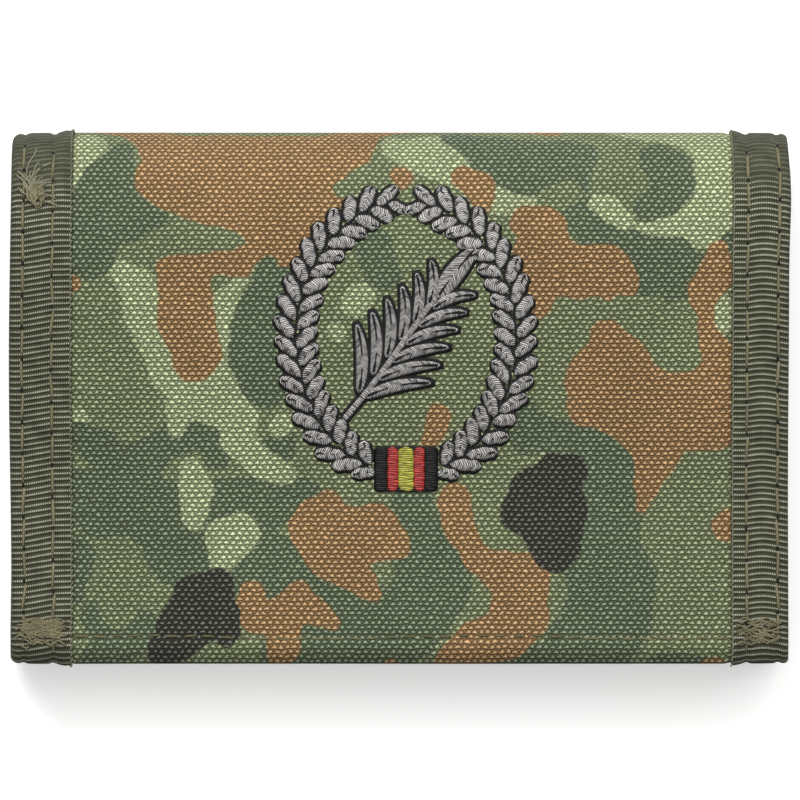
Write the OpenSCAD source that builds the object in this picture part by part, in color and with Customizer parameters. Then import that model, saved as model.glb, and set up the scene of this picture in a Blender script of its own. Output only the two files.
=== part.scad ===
// Trifold fabric wallet, closed. The strip of cloth runs from the free edge of the front flap, over the
// top fold, along the back, round the bottom fold and up to the tip of the inner leaf.
// Axes: +X along the folds, +Y from the bottom fold to the top fold, +Z out of the front flap.
// The origin is under the middle of the wallet, on the surface that it lies on. Millimetres.

/* [Body] */
// Width of the wallet along its folds
body_w = 130; // [130:1:140]
// Thickness of the closed wallet at its crown, with the stitches
closed_t = 20; // [19.5:0.5:22]

/* [Cloth] */
// Thickness of the outer shell cloth
shell_t = 0.6; // [0.4:0.1:0.6]
// Thickness of one layer of the edge binding tape
tape_t = 0.6; // [0.4:0.1:0.6]
// Width of the binding tape on each face
tape_w = 10; // [9:0.5:11]
// Thickness of the divider cloth and of the coin pouch cloth
lining_t = 0.4; // [0.3:0.1:0.4]
// Thickness of the card slot cloth
slot_t = 0.3; // [0.2:0.1:0.3]

/* [Closure] */
// Height of the hook strip
hook_h = 16; // [12:1:16]
// Length of the hook and loop strips
strip_w = 90; // [60:5:90]

/* [Zip] */
// Distance that the zip slider travels
zip_travel = 76; // [60:2:76]
// Length of the zip pull from its pin
pull_len = 9.4; // [7:0.2:9.4]

/* [Badge] */
// Width of the embroidered ring
badge_w = 43; // [30:1:43]
// Height of the embroidered ring
badge_h = 51.8; // [40:0.2:51.8]
// Width of the ring's band
badge_band = 6.4; // [4:0.2:8]
// Height that the embroidery stands above the cloth
badge_t = 0.5; // [0.3:0.1:0.5]

/* [Hidden] */

// Half of the width, and the edges of the cloth inside the tape
half_w = body_w / 2;
cloth_x = half_w - tape_t;
tape_x = half_w - tape_w;
// The divider stops short of the right edge, which leaves the note compartment open there
divider_x = tape_x - 1;
divider_edge_w = 8;
lining_x = divider_x - divider_edge_w - 0.5;

// Depths below the outer face of the shell
gap_note = 0.8;
divider_0 = shell_t + gap_note;
divider_1 = divider_0 + lining_t;
divider_tape_t = 0.45;
pouch_0 = divider_1 + 0.4;
pouch_1 = pouch_0 + lining_t;
zip_tape_1 = pouch_1 + 0.4;
coil_1 = zip_tape_1 + 1;
hook_t = 1;
loop_t = 1.2;

// One stitch, and the distance from one stitch to the next
stitch_l = 2.2;
stitch_pitch = 3.1;
stitch_w = 0.5;
stitch_t = 0.2;

// Heights of the outer shell: the back, the crown of the flap, its lower part, and the leaf
z_back = tape_t;
z_crown = closed_t - tape_t - stitch_t;
z_leaf = z_back + 11.4;
z_flap = z_leaf + loop_t + 0.2 + hook_t + divider_1;

// Top fold: a tight arc below and a wide arc above, which eases into the crown
top_y = 43.9;
top_r_high = 11;
ease_r = 35;
ease_a = 22;
top_high = [top_y - top_r_high, z_crown - top_r_high * cos(ease_a) - ease_r * (1 - cos(ease_a))];
top_r_low = top_high[1] - z_back;
top_low = [top_y - top_r_low, top_high[1]];
crown_y = top_high[0] - (ease_r - top_r_high) * sin(ease_a);

// Bottom fold: one radius for both arcs, with a short wall between them
bottom_y = -42.6;
bottom_r = 4.5;
bottom_low = [bottom_y + bottom_r, z_back + bottom_r];
bottom_high = [bottom_y + bottom_r, z_leaf - bottom_r];

// The flap sinks from its crown to its lower part through two wide arcs and a straight slope
sink_r1 = 150;
sink_r2 = 100;
sink_a = 6;
sink_run = ((z_crown - z_flap) - (sink_r1 + sink_r2) * (1 - cos(sink_a))) / tan(sink_a);
sink_end_y = crown_y - (sink_r1 + sink_r2) * sin(sink_a) - sink_run;
curl_r = 4.5;
curl_a = 60;
curl_c = [-44.5 + (curl_r + tape_t) * sin(curl_a), z_flap - curl_r];

// The leaf is flat under the loop strip, then slopes down to its tip
leaf_bend_y = -20;
leaf_bend_r = 60;
leaf_slope = 8.8;
leaf_tip_y = 13.4;

// The folds turn about lines on the outer face of the tape. The pieces on each side stop this far short
fold_gap = 0.15;
// Directions, round the arcs' centres, in which the fold lines lie
top_low_a = -45;
top_high_a = 51.5;
bottom_a = 135;

// ---- Paths of the shell's outer face. A path is a list of stations, each [[y, z], outward direction] ----
// A negative radius makes a hollow arc
function arc(c, r, a0, a1, n) = [for (i = [0:n])
    let (a = a0 + (a1 - a0) * i / n, u = [cos(a), sin(a)]) [c + r * u, u]];
function tail(list) = [for (i = [1:len(list) - 1]) list[i]];
function reversed(list) = [for (i = [len(list) - 1:-1:0]) list[i]];
// The angle that the fold gap takes up on an arc
function turn(r) = fold_gap / r * 180 / PI;

flap_path = concat(
    arc(curl_c, curl_r, 90 + curl_a, 90, 6),
    arc([sink_end_y, z_flap + sink_r2], -sink_r2, 90, 90 + sink_a, 4),
    arc([crown_y, z_crown - sink_r1], sink_r1, 90 + sink_a, 90, 5),
    tail(arc([crown_y, z_crown - ease_r], ease_r, 90, 90 - ease_a, 5)),
    tail(arc(top_high, top_r_high, 90 - ease_a, top_high_a + turn(top_r_high), 3)));
top_fold_path = concat(
    arc(top_high, top_r_high, top_high_a - turn(top_r_high), 0, 8),
    tail(arc(top_low, top_r_low, 0, top_low_a + turn(top_r_low), 6)));
back_path = concat(
    arc(top_low, top_r_low, top_low_a - turn(top_r_low), -90, 6),
    arc(bottom_low, bottom_r, -90, -bottom_a + turn(bottom_r), 6));
bottom_fold_path = concat(
    arc(bottom_low, bottom_r, -bottom_a - turn(bottom_r), -180, 6),
    arc(bottom_high, bottom_r, 180, bottom_a + turn(bottom_r), 6));
leaf_level = concat(
    arc(bottom_high, bottom_r, bottom_a - turn(bottom_r), 90, 6),
    arc([leaf_bend_y, z_leaf - leaf_bend_r], leaf_bend_r, 90, 90 - leaf_slope, 4));
leaf_last = leaf_level[len(leaf_level) - 1];
leaf_path = concat(leaf_level,
    [[leaf_last[0] + (leaf_tip_y - leaf_last[0][0]) * [1, -tan(leaf_slope)], leaf_last[1]]]);

// The part of a path whose y lies between y0 and y1
function station_at(p, q, y) = p + (q - p) * (y - p[0][0]) / (q[0][0] - p[0][0]);
function clip(p, q, y0, y1) = let (
    up = q[0][0] > p[0][0],
    a = max(min(p[0][0], q[0][0]), y0),
    b = min(max(p[0][0], q[0][0]), y1))
    b - a > 0.001 ? [station_at(p, q, up ? a : b), station_at(p, q, up ? b : a)] : [];
function between(path, y0, y1) = let (
    parts = [for (i = [0:len(path) - 2]) let (c = clip(path[i], path[i + 1], y0, y1)) if (len(c) > 0) c])
    concat([for (c = parts) c[0]], [parts[len(parts) - 1][1]]);

// The points of a path moved inwards by a depth
function inset(path, depth) = [for (s = path) s[0] - depth * s[1]];
// A path made longer at both ends, for cutting
function beyond(s, next) = s + (s - next) * 0.3 / norm(s[0] - next[0]);
function longer(path) = let (n = len(path) - 1)
    concat([beyond(path[0], path[1])], [for (i = [1:n - 1]) path[i]], [beyond(path[n], path[n - 1])]);

// A layer of cloth that follows a path, from depth d0 to depth d1 and from x0 to x1
module layer(path, d0, d1, x0, x1) {
    translate([x0, 0, 0]) rotate([90, 0, 90])
        linear_extrude(x1 - x0) polygon(concat(inset(path, d0), reversed(inset(path, d1))));
}

// Binding tape folded round the edge of all the layers down to a depth. side is -1 for left, 1 for right
module edge_tape(path, depth, side) {
    x0 = side < 0 ? -half_w : tape_x;
    inner_0 = side < 0 ? -cloth_x : tape_x - 1;
    inner_1 = side < 0 ? -tape_x + 1 : cloth_x;
    color("darkolivegreen") difference() {
        layer(path, -tape_t, depth + tape_t, x0, x0 + tape_w);
        layer(longer(path), 0, depth, inner_0, inner_1);
    }
}

// Narrow tape folded round the free right edge of the divider
module divider_tape(path) {
    x0 = divider_x - divider_edge_w;
    color("darkolivegreen") difference() {
        layer(path, divider_0 - divider_tape_t, divider_1 + divider_tape_t, x0, divider_x + 0.5);
        layer(longer(path), divider_0, divider_1, x0 - 1, divider_x);
    }
}

module shell(path) {
    color("olivedrab") layer(path, 0, shell_t, -cloth_x, cloth_x);
}

module divider(path) {
    color("dimgray") layer(path, divider_0, divider_1, -cloth_x, divider_x);
}

// A sheet sewn to the layer below it along three edges and open along the fourth. open_top is the mouth
module pocket(path, y0, y1, floor_d, d0, d1, x0, x1) {
    rim = 1.5;
    layer(between(path, y0, y1), d0, d1, x0, x1);
    layer(between(path, y0, y1), floor_d, d0 + 0.01, x0, x0 + rim);
    layer(between(path, y0, y1), floor_d, d0 + 0.01, x1 - rim, x1);
    layer(between(path, y0, y0 + rim), floor_d, d0 + 0.01, x0, x1);
}

// One row of stitches that lie on a layer, along the strip at a given x
module stitch_column(path, depth, x, y0, y1) {
    for (y = [y0:stitch_pitch:y1 - stitch_l])
        layer(between(path, y, y + stitch_l), depth - stitch_t, depth, x - stitch_w / 2, x + stitch_w / 2);
}

// One row of stitches across the strip at a given y
module stitch_row(path, depth, y, x0, x1) {
    for (x = [x0:stitch_pitch:x1 - stitch_l])
        layer(between(path, y - stitch_w / 2, y + stitch_w / 2), depth - stitch_t, depth, x, x + stitch_l);
}

// Distances of the two seam rows from the inner and the outer edge of the tape
seam_in = 2.6;
seam_out = 1.9;

// ---- Back ----
slot_gap = 0.5;
slot_step = slot_gap + slot_t;
slot_x0 = -tape_x + 1;
slot_x1 = lining_x;
slot_y0 = -37;
slot_mouths = [24, 13, 2];

module back_shell() { shell(back_path); }
module back_divider() { divider(back_path); }
module back_tape_left() { edge_tape(back_path, divider_1, -1); }
module back_tape_right() { edge_tape(back_path, shell_t, 1); }
module back_divider_tape() { divider_tape(back_path); }
module card_slot(level) {
    d0 = divider_1 + slot_gap + level * slot_step;
    floor_d = level == 0 ? divider_1 : d0 - slot_gap;
    color("gray") pocket(back_path, slot_y0, slot_mouths[level], floor_d, d0, d0 + slot_t, slot_x0, slot_x1);
}
module card_slot_rear() { card_slot(0); }
module card_slot_middle() { card_slot(1); }
module card_slot_front() { card_slot(2); }
// A narrow tape along the mouth of each slot
module card_slot_edging() {
    color("darkolivegreen") for (level = [0:2]) {
        d = divider_1 + slot_gap + level * slot_step + slot_t;
        layer(between(back_path, slot_mouths[level] - 4, slot_mouths[level]), d, d + 0.25, slot_x0, slot_x1);
    }
}
// The threads of the back are drawn on the inner face of the tapes, so the back lies flat
module back_seam_threads() {
    color("darkkhaki") for (x = [tape_x + seam_in, half_w - seam_out]) {
        stitch_column(back_path, divider_1 + tape_t + stitch_t, -x, -34, 34);
        stitch_column(back_path, shell_t + tape_t + stitch_t, x, -34, 34);
    }
}

// ---- Top fold ----
module top_fold_shell() { shell(top_fold_path); }
module top_fold_divider() { divider(top_fold_path); }
module top_fold_tape_left() { edge_tape(top_fold_path, divider_1, -1); }
module top_fold_tape_right() { edge_tape(top_fold_path, shell_t, 1); }
module top_fold_divider_tape() { divider_tape(top_fold_path); }

// ---- Flap ----
hem_y = -39.8;
hem_in_y = -36;
hem_in_t = 0.3;
module flap_shell() {
    color("olivedrab") {
        layer(flap_path, 0, shell_t, -cloth_x, cloth_x);
        layer(between(flap_path, -44, hem_in_y), shell_t - 0.01, shell_t + hem_in_t, -tape_x + 1, tape_x - 1);
    }
}
module flap_divider() { divider(flap_path); }
module flap_tape_left() { edge_tape(flap_path, divider_1, -1); }
module flap_tape_right() { edge_tape(flap_path, shell_t, 1); }
module flap_divider_tape() { divider_tape(flap_path); }
// Stitches lie on the outer face of the tape, two columns on each side
module flap_seam_threads() {
    color("darkkhaki") for (x = [tape_x + seam_in, half_w - seam_out])
        for (side = [-1, 1]) stitch_column(flap_path, -tape_t, side * x, -38.5, 38);
}
module flap_hem_thread() {
    color("darkkhaki") stitch_row(flap_path, 0, hem_y, -tape_x + 1, tape_x - 1);
}
module hook_strip() {
    color("black") layer(between(flap_path, -38, -38 + hook_h), divider_1, divider_1 + hook_t,
                         -strip_w / 2, strip_w / 2);
}

// ---- Badge ----
badge_c = [1.1, 9.7];
function ellipse(rx, ry, n) = [for (i = [0:n - 1]) [rx * cos(360 * i / n), ry * sin(360 * i / n)]];
// A pointed leaf outline, from the origin along +X
function leaflet(len, w) = let (r = (len * len / 4 + w * w / 4) / w, a = asin(len / 2 / r))
    concat([for (i = [0:6]) [len / 2 + r * sin(-a + 2 * a * i / 6), r * cos(-a + 2 * a * i / 6) - r + w / 2]],
           [for (i = [5:-1:1]) [len / 2 + r * sin(-a + 2 * a * i / 6), r - r * cos(-a + 2 * a * i / 6) - w / 2]]);
module on_flap() {
    color("silver") intersection() {
        layer(between(flap_path, -18, 37), -badge_t, 0, -25, 27);
        translate([badge_c[0], badge_c[1], 0]) linear_extrude(30) children();
    }
}
bar_w = 10.9;
bar_h = 8.1;
bar_y = -badge_h / 2 + bar_h / 2;
// An oval rope ring, open at the bottom for the bar
module badge_ring() {
    on_flap() difference() {
        polygon(ellipse(badge_w / 2, badge_h / 2, 48));
        polygon(ellipse(badge_w / 2 - badge_band, badge_h / 2 - badge_band, 48));
        translate([0, bar_y]) square([bar_w + 1, bar_h + 8], center = true);
    }
}
// A sprig of leaves on a stem that rises to the right
sprig_a = 52;
module badge_sprig() {
    on_flap() rotate(sprig_a) translate([-17, 0]) {
        translate([0, -0.5]) square([25, 1]);
        translate([23, 0]) polygon(leaflet(11, 4.4));
        for (i = [0:3]) for (side = [-1, 1])
            translate([5 + 5.2 * i, 0]) rotate(side * 38) translate([0.4, side * 0.4]) polygon(leaflet(9.4 - i, 3.4));
    }
}
module badge_bar() {
    on_flap() translate([0, bar_y]) square([bar_w, bar_h], center = true);
}

// ---- Coin pouch and its zip, on the inside of the flap ----
zip_y = 28;
pouch_y0 = -16;
pouch_x0 = -tape_x + 1;
pouch_x1 = lining_x;
pouch_top = zip_y - 2.5;
header_y0 = zip_y + 2.5;
header_y1 = 36.5;
zip_half_gap = 0.3;
zip_tape_w = 5.7;
coil_w = 1.1;
zip_x = zip_travel / 2 + 5;
module coin_pouch() {
    color("dimgray") pocket(flap_path, pouch_y0, pouch_top, divider_1, pouch_0, pouch_1, pouch_x0, pouch_x1);
}
module coin_pouch_header() {
    color("dimgray") layer(between(flap_path, header_y0, header_y1), divider_1, pouch_1, pouch_x0, pouch_x1);
}
// side is 1 above the zip and -1 below it
module zip_band(side, near, far, d0, d1, x0, x1) {
    y0 = side > 0 ? zip_y + near : zip_y - far;
    layer(between(flap_path, y0, y0 + far - near), d0, d1, x0, x1);
}
module zip_tape(side) {
    color("dimgray") zip_band(side, zip_half_gap, zip_half_gap + zip_tape_w, pouch_1, zip_tape_1, pouch_x0, pouch_x1);
}
module zip_tape_lower() { zip_tape(-1); }
module zip_tape_upper() { zip_tape(1); }
module zip_coil(side) {
    color("black") zip_band(side, zip_half_gap, zip_half_gap + coil_w, zip_tape_1, coil_1, -zip_x, zip_x);
}
module zip_coil_lower() { zip_coil(-1); }
module zip_coil_upper() { zip_coil(1); }
module zip_stops() {
    stop_w = 1.4;
    color("silver") for (x = [-zip_x - stop_w, zip_x])
        layer(between(flap_path, zip_y - 1.6, zip_y + 1.6), zip_tape_1, coil_1, x, x + stop_w);
}

// The slider rides on the coil: a plate above it with two flanges, a plate below the tapes, and a web
slider_l = 8;
slider_half_w = 2.7;
slider_x = zip_travel / 2;
slider_0 = coil_1 + 0.15;
slider_1 = slider_0 + 0.8;
pin_d = slider_1 + 1;
pin_r = 0.55;
lug_in = 1.1;
lug_out = 1.8;
// Places a child drawn with its own Z along the depth below the shell, at the zip line
module at_zip(x) {
    s = between(flap_path, zip_y, zip_y + 0.5)[0];
    translate([x, s[0][0], s[0][1]]) rotate([atan2(-s[1][0], s[1][1]), 0, 0]) children();
}
module zip_slider() {
    color("silver") at_zip(slider_x) difference() {
        union() {
            slab(-slider_half_w, slider_half_w, slider_0, slider_1, slider_l);
            for (side = [-1, 1]) {
                slab(side * 2.2 - 0.5, side * 2.2 + 0.5, zip_tape_1 + 0.25, slider_0 + 0.01, slider_l);
                slab(side * (lug_in + lug_out) / 2 - (lug_out - lug_in) / 2,
                     side * (lug_in + lug_out) / 2 + (lug_out - lug_in) / 2, slider_1 - 0.01, pin_d + 0.9, 2.4);
            }
            slab(-0.15, 0.15, divider_1 + 0.2, slider_0 + 0.01, slider_l * 0.6);
            slab(-2, 2, divider_1 + 0.2, pouch_1 - 0.15, slider_l * 0.8);
        }
        translate([0, 0, -pin_d]) rotate([90, 0, 0]) cylinder(r = pin_r + 0.05, h = 8, center = true, $fn = 24);
    }
}
// A block on the slider, centred on its length, between two widths and two depths
module slab(y0, y1, d0, d1, len) {
    translate([-len / 2, y0, -d1]) cube([len, y1 - y0, d1 - d0]);
}
// The pull hangs on a pin between the slider's two lugs
module zip_pull() {
    color("black") at_zip(slider_x) {
        translate([0, 0, -pin_d]) {
            rotate([90, 0, 0]) cylinder(r = pin_r, h = lug_out * 2, center = true, $fn = 24);
            translate([-4, -0.85, -0.5]) cube([4, 1.7, 1]);
            translate([-pull_len, -2.2, -0.5]) cube([pull_len - 2.4, 4.4, 1]);
        }
    }
}

// ---- Bottom fold ----
module bottom_fold_shell() { shell(bottom_fold_path); }
module bottom_fold_divider() { divider(bottom_fold_path); }
module bottom_fold_tape_left() { edge_tape(bottom_fold_path, divider_1, -1); }
module bottom_fold_tape_right() { edge_tape(bottom_fold_path, shell_t, 1); }
module bottom_fold_divider_tape() { divider_tape(bottom_fold_path); }

// ---- Leaf ----
window_x0 = -lining_x - 2;
window_x1 = lining_x - 1.5;
window_y0 = -36;
window_y1 = 9;
window_border = 4;
window_t = 0.3;
module leaf_shell() { shell(leaf_path); }
module leaf_divider() { divider(leaf_path); }
module leaf_tape_left() { edge_tape(leaf_path, divider_1, -1); }
module leaf_tape_right() { edge_tape(leaf_path, shell_t, 1); }
module leaf_divider_tape() { divider_tape(leaf_path); }
module loop_strip() {
    color("black") layer(between(leaf_path, -38, -38 + hook_h + 2), -loop_t, 0, -strip_w / 2, strip_w / 2);
}
module id_window() {
    color("lightblue", 0.4) pocket(leaf_path, window_y0, window_y1, divider_1, divider_1 + 0.4,
                                   divider_1 + 0.4 + window_t, window_x0, window_x1);
}
// A border of cloth sewn over the edge of the clear sheet
module id_window_frame() {
    d = divider_1 + 0.4 + window_t;
    color("darkolivegreen") difference() {
        layer(between(leaf_path, window_y0, window_y1), d, d + 0.3, window_x0, window_x1);
        layer(between(leaf_path, window_y0 + window_border, window_y1 - window_border), d - 1, d + 1,
              window_x0 + window_border, window_x1 - window_border);
    }
}
module leaf_hem_thread() {
    color("darkkhaki") stitch_row(leaf_path, 0, leaf_tip_y - 4, -tape_x + 1, tape_x - 1);
}

back_shell();
back_divider();
back_tape_left();
back_tape_right();
back_divider_tape();
card_slot_rear();
card_slot_middle();
card_slot_front();
card_slot_edging();
back_seam_threads();
top_fold_shell();
top_fold_divider();
top_fold_tape_left();
top_fold_tape_right();
top_fold_divider_tape();
flap_shell();
flap_divider();
flap_tape_left();
flap_tape_right();
flap_divider_tape();
flap_seam_threads();
flap_hem_thread();
hook_strip();
badge_ring();
badge_sprig();
badge_bar();
coin_pouch();
coin_pouch_header();
zip_tape_lower();
zip_tape_upper();
zip_coil_lower();
zip_coil_upper();
zip_stops();
zip_slider();
zip_pull();
bottom_fold_shell();
bottom_fold_divider();
bottom_fold_tape_left();
bottom_fold_tape_right();
bottom_fold_divider_tape();
leaf_shell();
leaf_divider();
leaf_tape_left();
leaf_tape_right();
leaf_divider_tape();
loop_strip();
id_window();
id_window_frame();
leaf_hem_thread();
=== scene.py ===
import math
import bpy
import numpy as np
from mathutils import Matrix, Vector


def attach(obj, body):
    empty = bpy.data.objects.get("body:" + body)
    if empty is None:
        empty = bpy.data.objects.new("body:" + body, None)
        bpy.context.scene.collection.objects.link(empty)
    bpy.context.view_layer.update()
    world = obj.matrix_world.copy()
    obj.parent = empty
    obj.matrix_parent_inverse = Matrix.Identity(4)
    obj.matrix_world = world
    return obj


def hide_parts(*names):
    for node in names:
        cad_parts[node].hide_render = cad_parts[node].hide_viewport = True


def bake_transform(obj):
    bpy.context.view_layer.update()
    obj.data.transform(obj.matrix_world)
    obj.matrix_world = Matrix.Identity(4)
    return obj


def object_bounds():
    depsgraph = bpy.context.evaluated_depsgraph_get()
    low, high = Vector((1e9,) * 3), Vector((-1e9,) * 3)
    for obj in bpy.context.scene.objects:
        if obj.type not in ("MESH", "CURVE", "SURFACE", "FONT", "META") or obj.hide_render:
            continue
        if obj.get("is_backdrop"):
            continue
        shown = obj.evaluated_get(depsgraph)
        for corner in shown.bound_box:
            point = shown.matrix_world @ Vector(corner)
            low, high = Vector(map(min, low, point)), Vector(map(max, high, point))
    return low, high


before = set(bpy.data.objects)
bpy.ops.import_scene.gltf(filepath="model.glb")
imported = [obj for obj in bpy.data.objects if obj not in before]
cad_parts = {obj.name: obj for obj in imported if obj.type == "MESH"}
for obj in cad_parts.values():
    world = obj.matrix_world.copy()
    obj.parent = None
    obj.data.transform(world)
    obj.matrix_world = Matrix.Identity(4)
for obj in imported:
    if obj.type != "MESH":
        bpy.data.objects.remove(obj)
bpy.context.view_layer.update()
scene = bpy.context.scene
chance = np.random.default_rng(7)


# The strip of cloth that the wallet is folded from, in mm
strip = {
    "halfWidth": 65.0, "clothHalf": 64.4, "tapeInner": 55.0, "tape": 0.6, "shell": 0.6,
    "dividerOut": 1.4, "dividerIn": 1.8, "dividerRight": 54.0,
    "crownZ": 19.2, "flapZ": 16.2, "leafZ": 12.0, "backZ": 0.6,
    "topY": 43.9, "topRadius": 11.0, "easeRadius": 35.0, "easeAngle": 22.0,
    "bottomY": -42.6, "bottomRadius": 4.5, "curlRadius": 4.5, "curlAngle": 60.0,
    "sinkUpper": 150.0, "sinkLower": 100.0, "sinkAngle": 6.0,
    "leafBendY": -20.0, "leafBendRadius": 60.0, "leafSlope": 8.8, "leafTipY": 13.4,
    "topHingeLow": -45.0, "topHingeHigh": 51.5, "bottomHinge": 135.0,
}


# Points on a circle and the outward direction at each: centre plus radius times (cos, sin). A negative radius is a hollow arc
def arcPoints(centre, radius, fromAngle, toAngle):
    count = max(6, int(abs(radius * math.radians(toAngle - fromAngle)) / 0.2))
    angle = np.radians(np.linspace(fromAngle, toAngle, count))
    out = np.stack([np.cos(angle), np.sin(angle)], 1)
    return np.hstack([np.array(centre) + radius * out, out])


# The section of the folded strip: arcs joined by straight runs, from the flap's free edge to the tip of the leaf.
# Each row is y, z, outward y, outward z, and path is the distance walked along it
def foldedSection(c):
    ease, sink = math.radians(c["easeAngle"]), math.radians(c["sinkAngle"])
    highY = c["topY"] - c["topRadius"]
    highZ = c["crownZ"] - c["topRadius"] * math.cos(ease) - c["easeRadius"] * (1 - math.cos(ease))
    crownY = highY - (c["easeRadius"] - c["topRadius"]) * math.sin(ease)
    run = (c["crownZ"] - c["flapZ"] - (c["sinkUpper"] + c["sinkLower"]) * (1 - math.cos(sink))) / math.tan(sink)
    sinkY = crownY - (c["sinkUpper"] + c["sinkLower"]) * math.sin(sink) - run
    curlY = -44.5 + (c["curlRadius"] + c["tape"]) * math.sin(math.radians(c["curlAngle"]))
    lowRadius = highZ - c["backZ"]
    low, high = c["bottomRadius"] + c["backZ"], c["leafZ"] - c["bottomRadius"]
    foldY = c["bottomY"] + c["bottomRadius"]
    slope = math.radians(c["leafSlope"])
    rows = np.vstack([
        arcPoints((curlY, c["flapZ"] - c["curlRadius"]), c["curlRadius"], 90 + c["curlAngle"], 90),
        arcPoints((sinkY, c["flapZ"] + c["sinkLower"]), -c["sinkLower"], 90, 90 + c["sinkAngle"]),
        arcPoints((crownY, c["crownZ"] - c["sinkUpper"]), c["sinkUpper"], 90 + c["sinkAngle"], 90),
        arcPoints((crownY, c["crownZ"] - c["easeRadius"]), c["easeRadius"], 90, 90 - c["easeAngle"]),
        arcPoints((highY, highZ), c["topRadius"], 90 - c["easeAngle"], 0),
        arcPoints((c["topY"] - lowRadius, highZ), lowRadius, 0, -90),
        arcPoints((foldY, low), c["bottomRadius"], -90, -180),
        arcPoints((foldY, high), c["bottomRadius"], -180, -270),
        arcPoints((c["leafBendY"], c["leafZ"] - c["leafBendRadius"]), c["leafBendRadius"], -270, -270 - c["leafSlope"]),
    ])
    last = rows[-1]
    reach = (c["leafTipY"] - last[0]) / math.cos(slope)
    tip = np.array([last[0] + reach * math.cos(slope), last[1] - reach * math.sin(slope), last[2], last[3]])
    rows = np.vstack([rows, tip])
    step = np.hypot(*np.diff(rows[:, :2], axis=0).T)
    keep = np.concatenate([[True], step > 1e-6])
    rows = rows[keep]
    path = np.concatenate([[0], np.cumsum(np.hypot(*np.diff(rows[:, :2], axis=0).T))])
    return rows, path


sectionRows, sectionPath = foldedSection(strip)
crownAt = int(np.argmax(sectionRows[:, 1]))
turned = np.degrees(np.unwrap(np.arctan2(sectionRows[:, 3], sectionRows[:, 2])))
topAt = int(np.argmax(sectionRows[:, 0]))
backEndAt = int(np.argmin(np.where(np.arange(len(turned)) > topAt, sectionRows[:, 0], 99)))


# The distance along the strip where its outward direction has turned to an angle, past the crown
def pathAtAngle(angle):
    return float(np.interp(-angle, -turned[crownAt:], sectionPath[crownAt:]))


# The distance along the flap at a height y of the wallet
def flapPath(y):
    return np.interp(y, sectionRows[:topAt, 0], sectionPath[:topAt])


# The distance along the back at a height y
def backPath(y):
    return np.interp(-np.asarray(y, float), -sectionRows[topAt:backEndAt, 0], sectionPath[topAt:backEndAt])


# The distance along the leaf at a height y
def leafPath(y):
    start = backEndAt + 20
    return np.interp(y, sectionRows[start:, 0], sectionPath[start:])


topMiddle, backMiddle, leafEnd = float(sectionPath[topAt]), float(backPath(0.0)), float(sectionPath[-1])
bottomMiddle = pathAtAngle(-179.9) + 1.2
hinges = {"flap": pathAtAngle(strip["topHingeHigh"]), "upper": pathAtAngle(strip["topHingeLow"]),
          "lower": pathAtAngle(-strip["bottomHinge"]), "leaf": pathAtAngle(-360 + strip["bottomHinge"])}

# Each part of the strip bends across one fold line: bodies before and after it, where it starts and ends, how far each way it bends
parts = {
    "flap": ("flap", "top_fold", 0.0, topMiddle, hinges["flap"], 4.0),
    "upper": ("top_fold", "back", topMiddle, backMiddle, hinges["upper"], 4.0),
    "lower": ("back", "bottom_fold", backMiddle, bottomMiddle, hinges["lower"], 3.2),
    "leaf": ("bottom_fold", "leaf", bottomMiddle, leafEnd, hinges["leaf"], 3.2),
}

hemPath = float(flapPath(-39.8))
softness = {"hemGroove": 0.22, "tapeGroove": 0.3, "foldSwell": 0.8, "curlSwell": 0.75,
            "ripple": 0.16, "pucker": 0.10, "edgeDrift": 0.35}


# How the cloth lies unevenly, in mm outwards: slow waves, and small puckers by the seams. None on the back, which lies flat,
# and none deeper than the canvas, where the lining and the zip keep to their own places
def unevenness(x, path):
    onFlap = np.clip((hinges["flap"] + 3 - path) / 8, 0, 1) * np.clip(path / 6, 0, 1)
    onLeaf = np.clip((path - hinges["leaf"] - 4) / 8, 0, 1) * 0.6
    slow = np.sin(x * 0.083 + 0.6) * np.sin(path * 0.095 + 1.9) + 0.5 * np.sin(x * 0.19 + path * 0.11)
    seam = np.exp(-((np.abs(x) - 53.6) / 1.6) ** 2) * np.sin(path * 2.17 + 1.3 * np.sin(path * 0.31))
    hem = np.exp(-((path - hemPath) / 1.8) ** 2) * np.sin(x * 2.03 + 1.1 * np.sin(x * 0.27))
    groove = softness["hemGroove"] * np.exp(-((path - hemPath) / 0.5) ** 2) * (np.abs(x) < 55)
    between = np.clip((57.4 - np.abs(x)) / 2.2, 0, 1)
    groove = groove + softness["tapeGroove"] * np.exp(-((np.abs(x) - 55.2) / 0.5) ** 2) * np.clip((backMiddle - path) / 20, 0, 1)
    swell = softness["foldSwell"] * np.exp(-((path - topMiddle) / 9) ** 2) + softness["curlSwell"] * np.exp(-(path / 4.5) ** 2)
    return (onFlap + onLeaf) * (softness["ripple"] * slow + softness["pucker"] * (seam + hem)) - groove + swell * between


# How far the two long edges wander sideways, in mm
def edgeDrift(x, path):
    right = np.clip((x - 40) / 25, 0, 1) * (np.exp(-((path - 79) / 7) ** 2) - 0.35 * np.exp(-((path - 30) / 22) ** 2))
    left = np.clip((-x - 40) / 25, 0, 1) * (0.5 * np.sin(path * 0.09 + 0.4))
    return softness["edgeDrift"] * (right + left * np.clip(path / 12, 0, 1))


# A point of the wallet, in metres: across the strip, along it, and this deep below the outer face of its canvas
def place(x, path, depth):
    x, path, depth = np.broadcast_arrays(np.asarray(x, float), np.asarray(path, float), np.asarray(depth, float))
    y, z, outY, outZ = (np.interp(path, sectionPath, sectionRows[:, k]) for k in range(4))
    size = np.hypot(outY, outZ)
    deep = (depth - unevenness(x, path) * np.clip(1 - depth / 1.3, 0, 1)) / size
    return np.stack([x + edgeDrift(x, path), y - deep * outY, z - deep * outZ], -1) * 0.001


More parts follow.
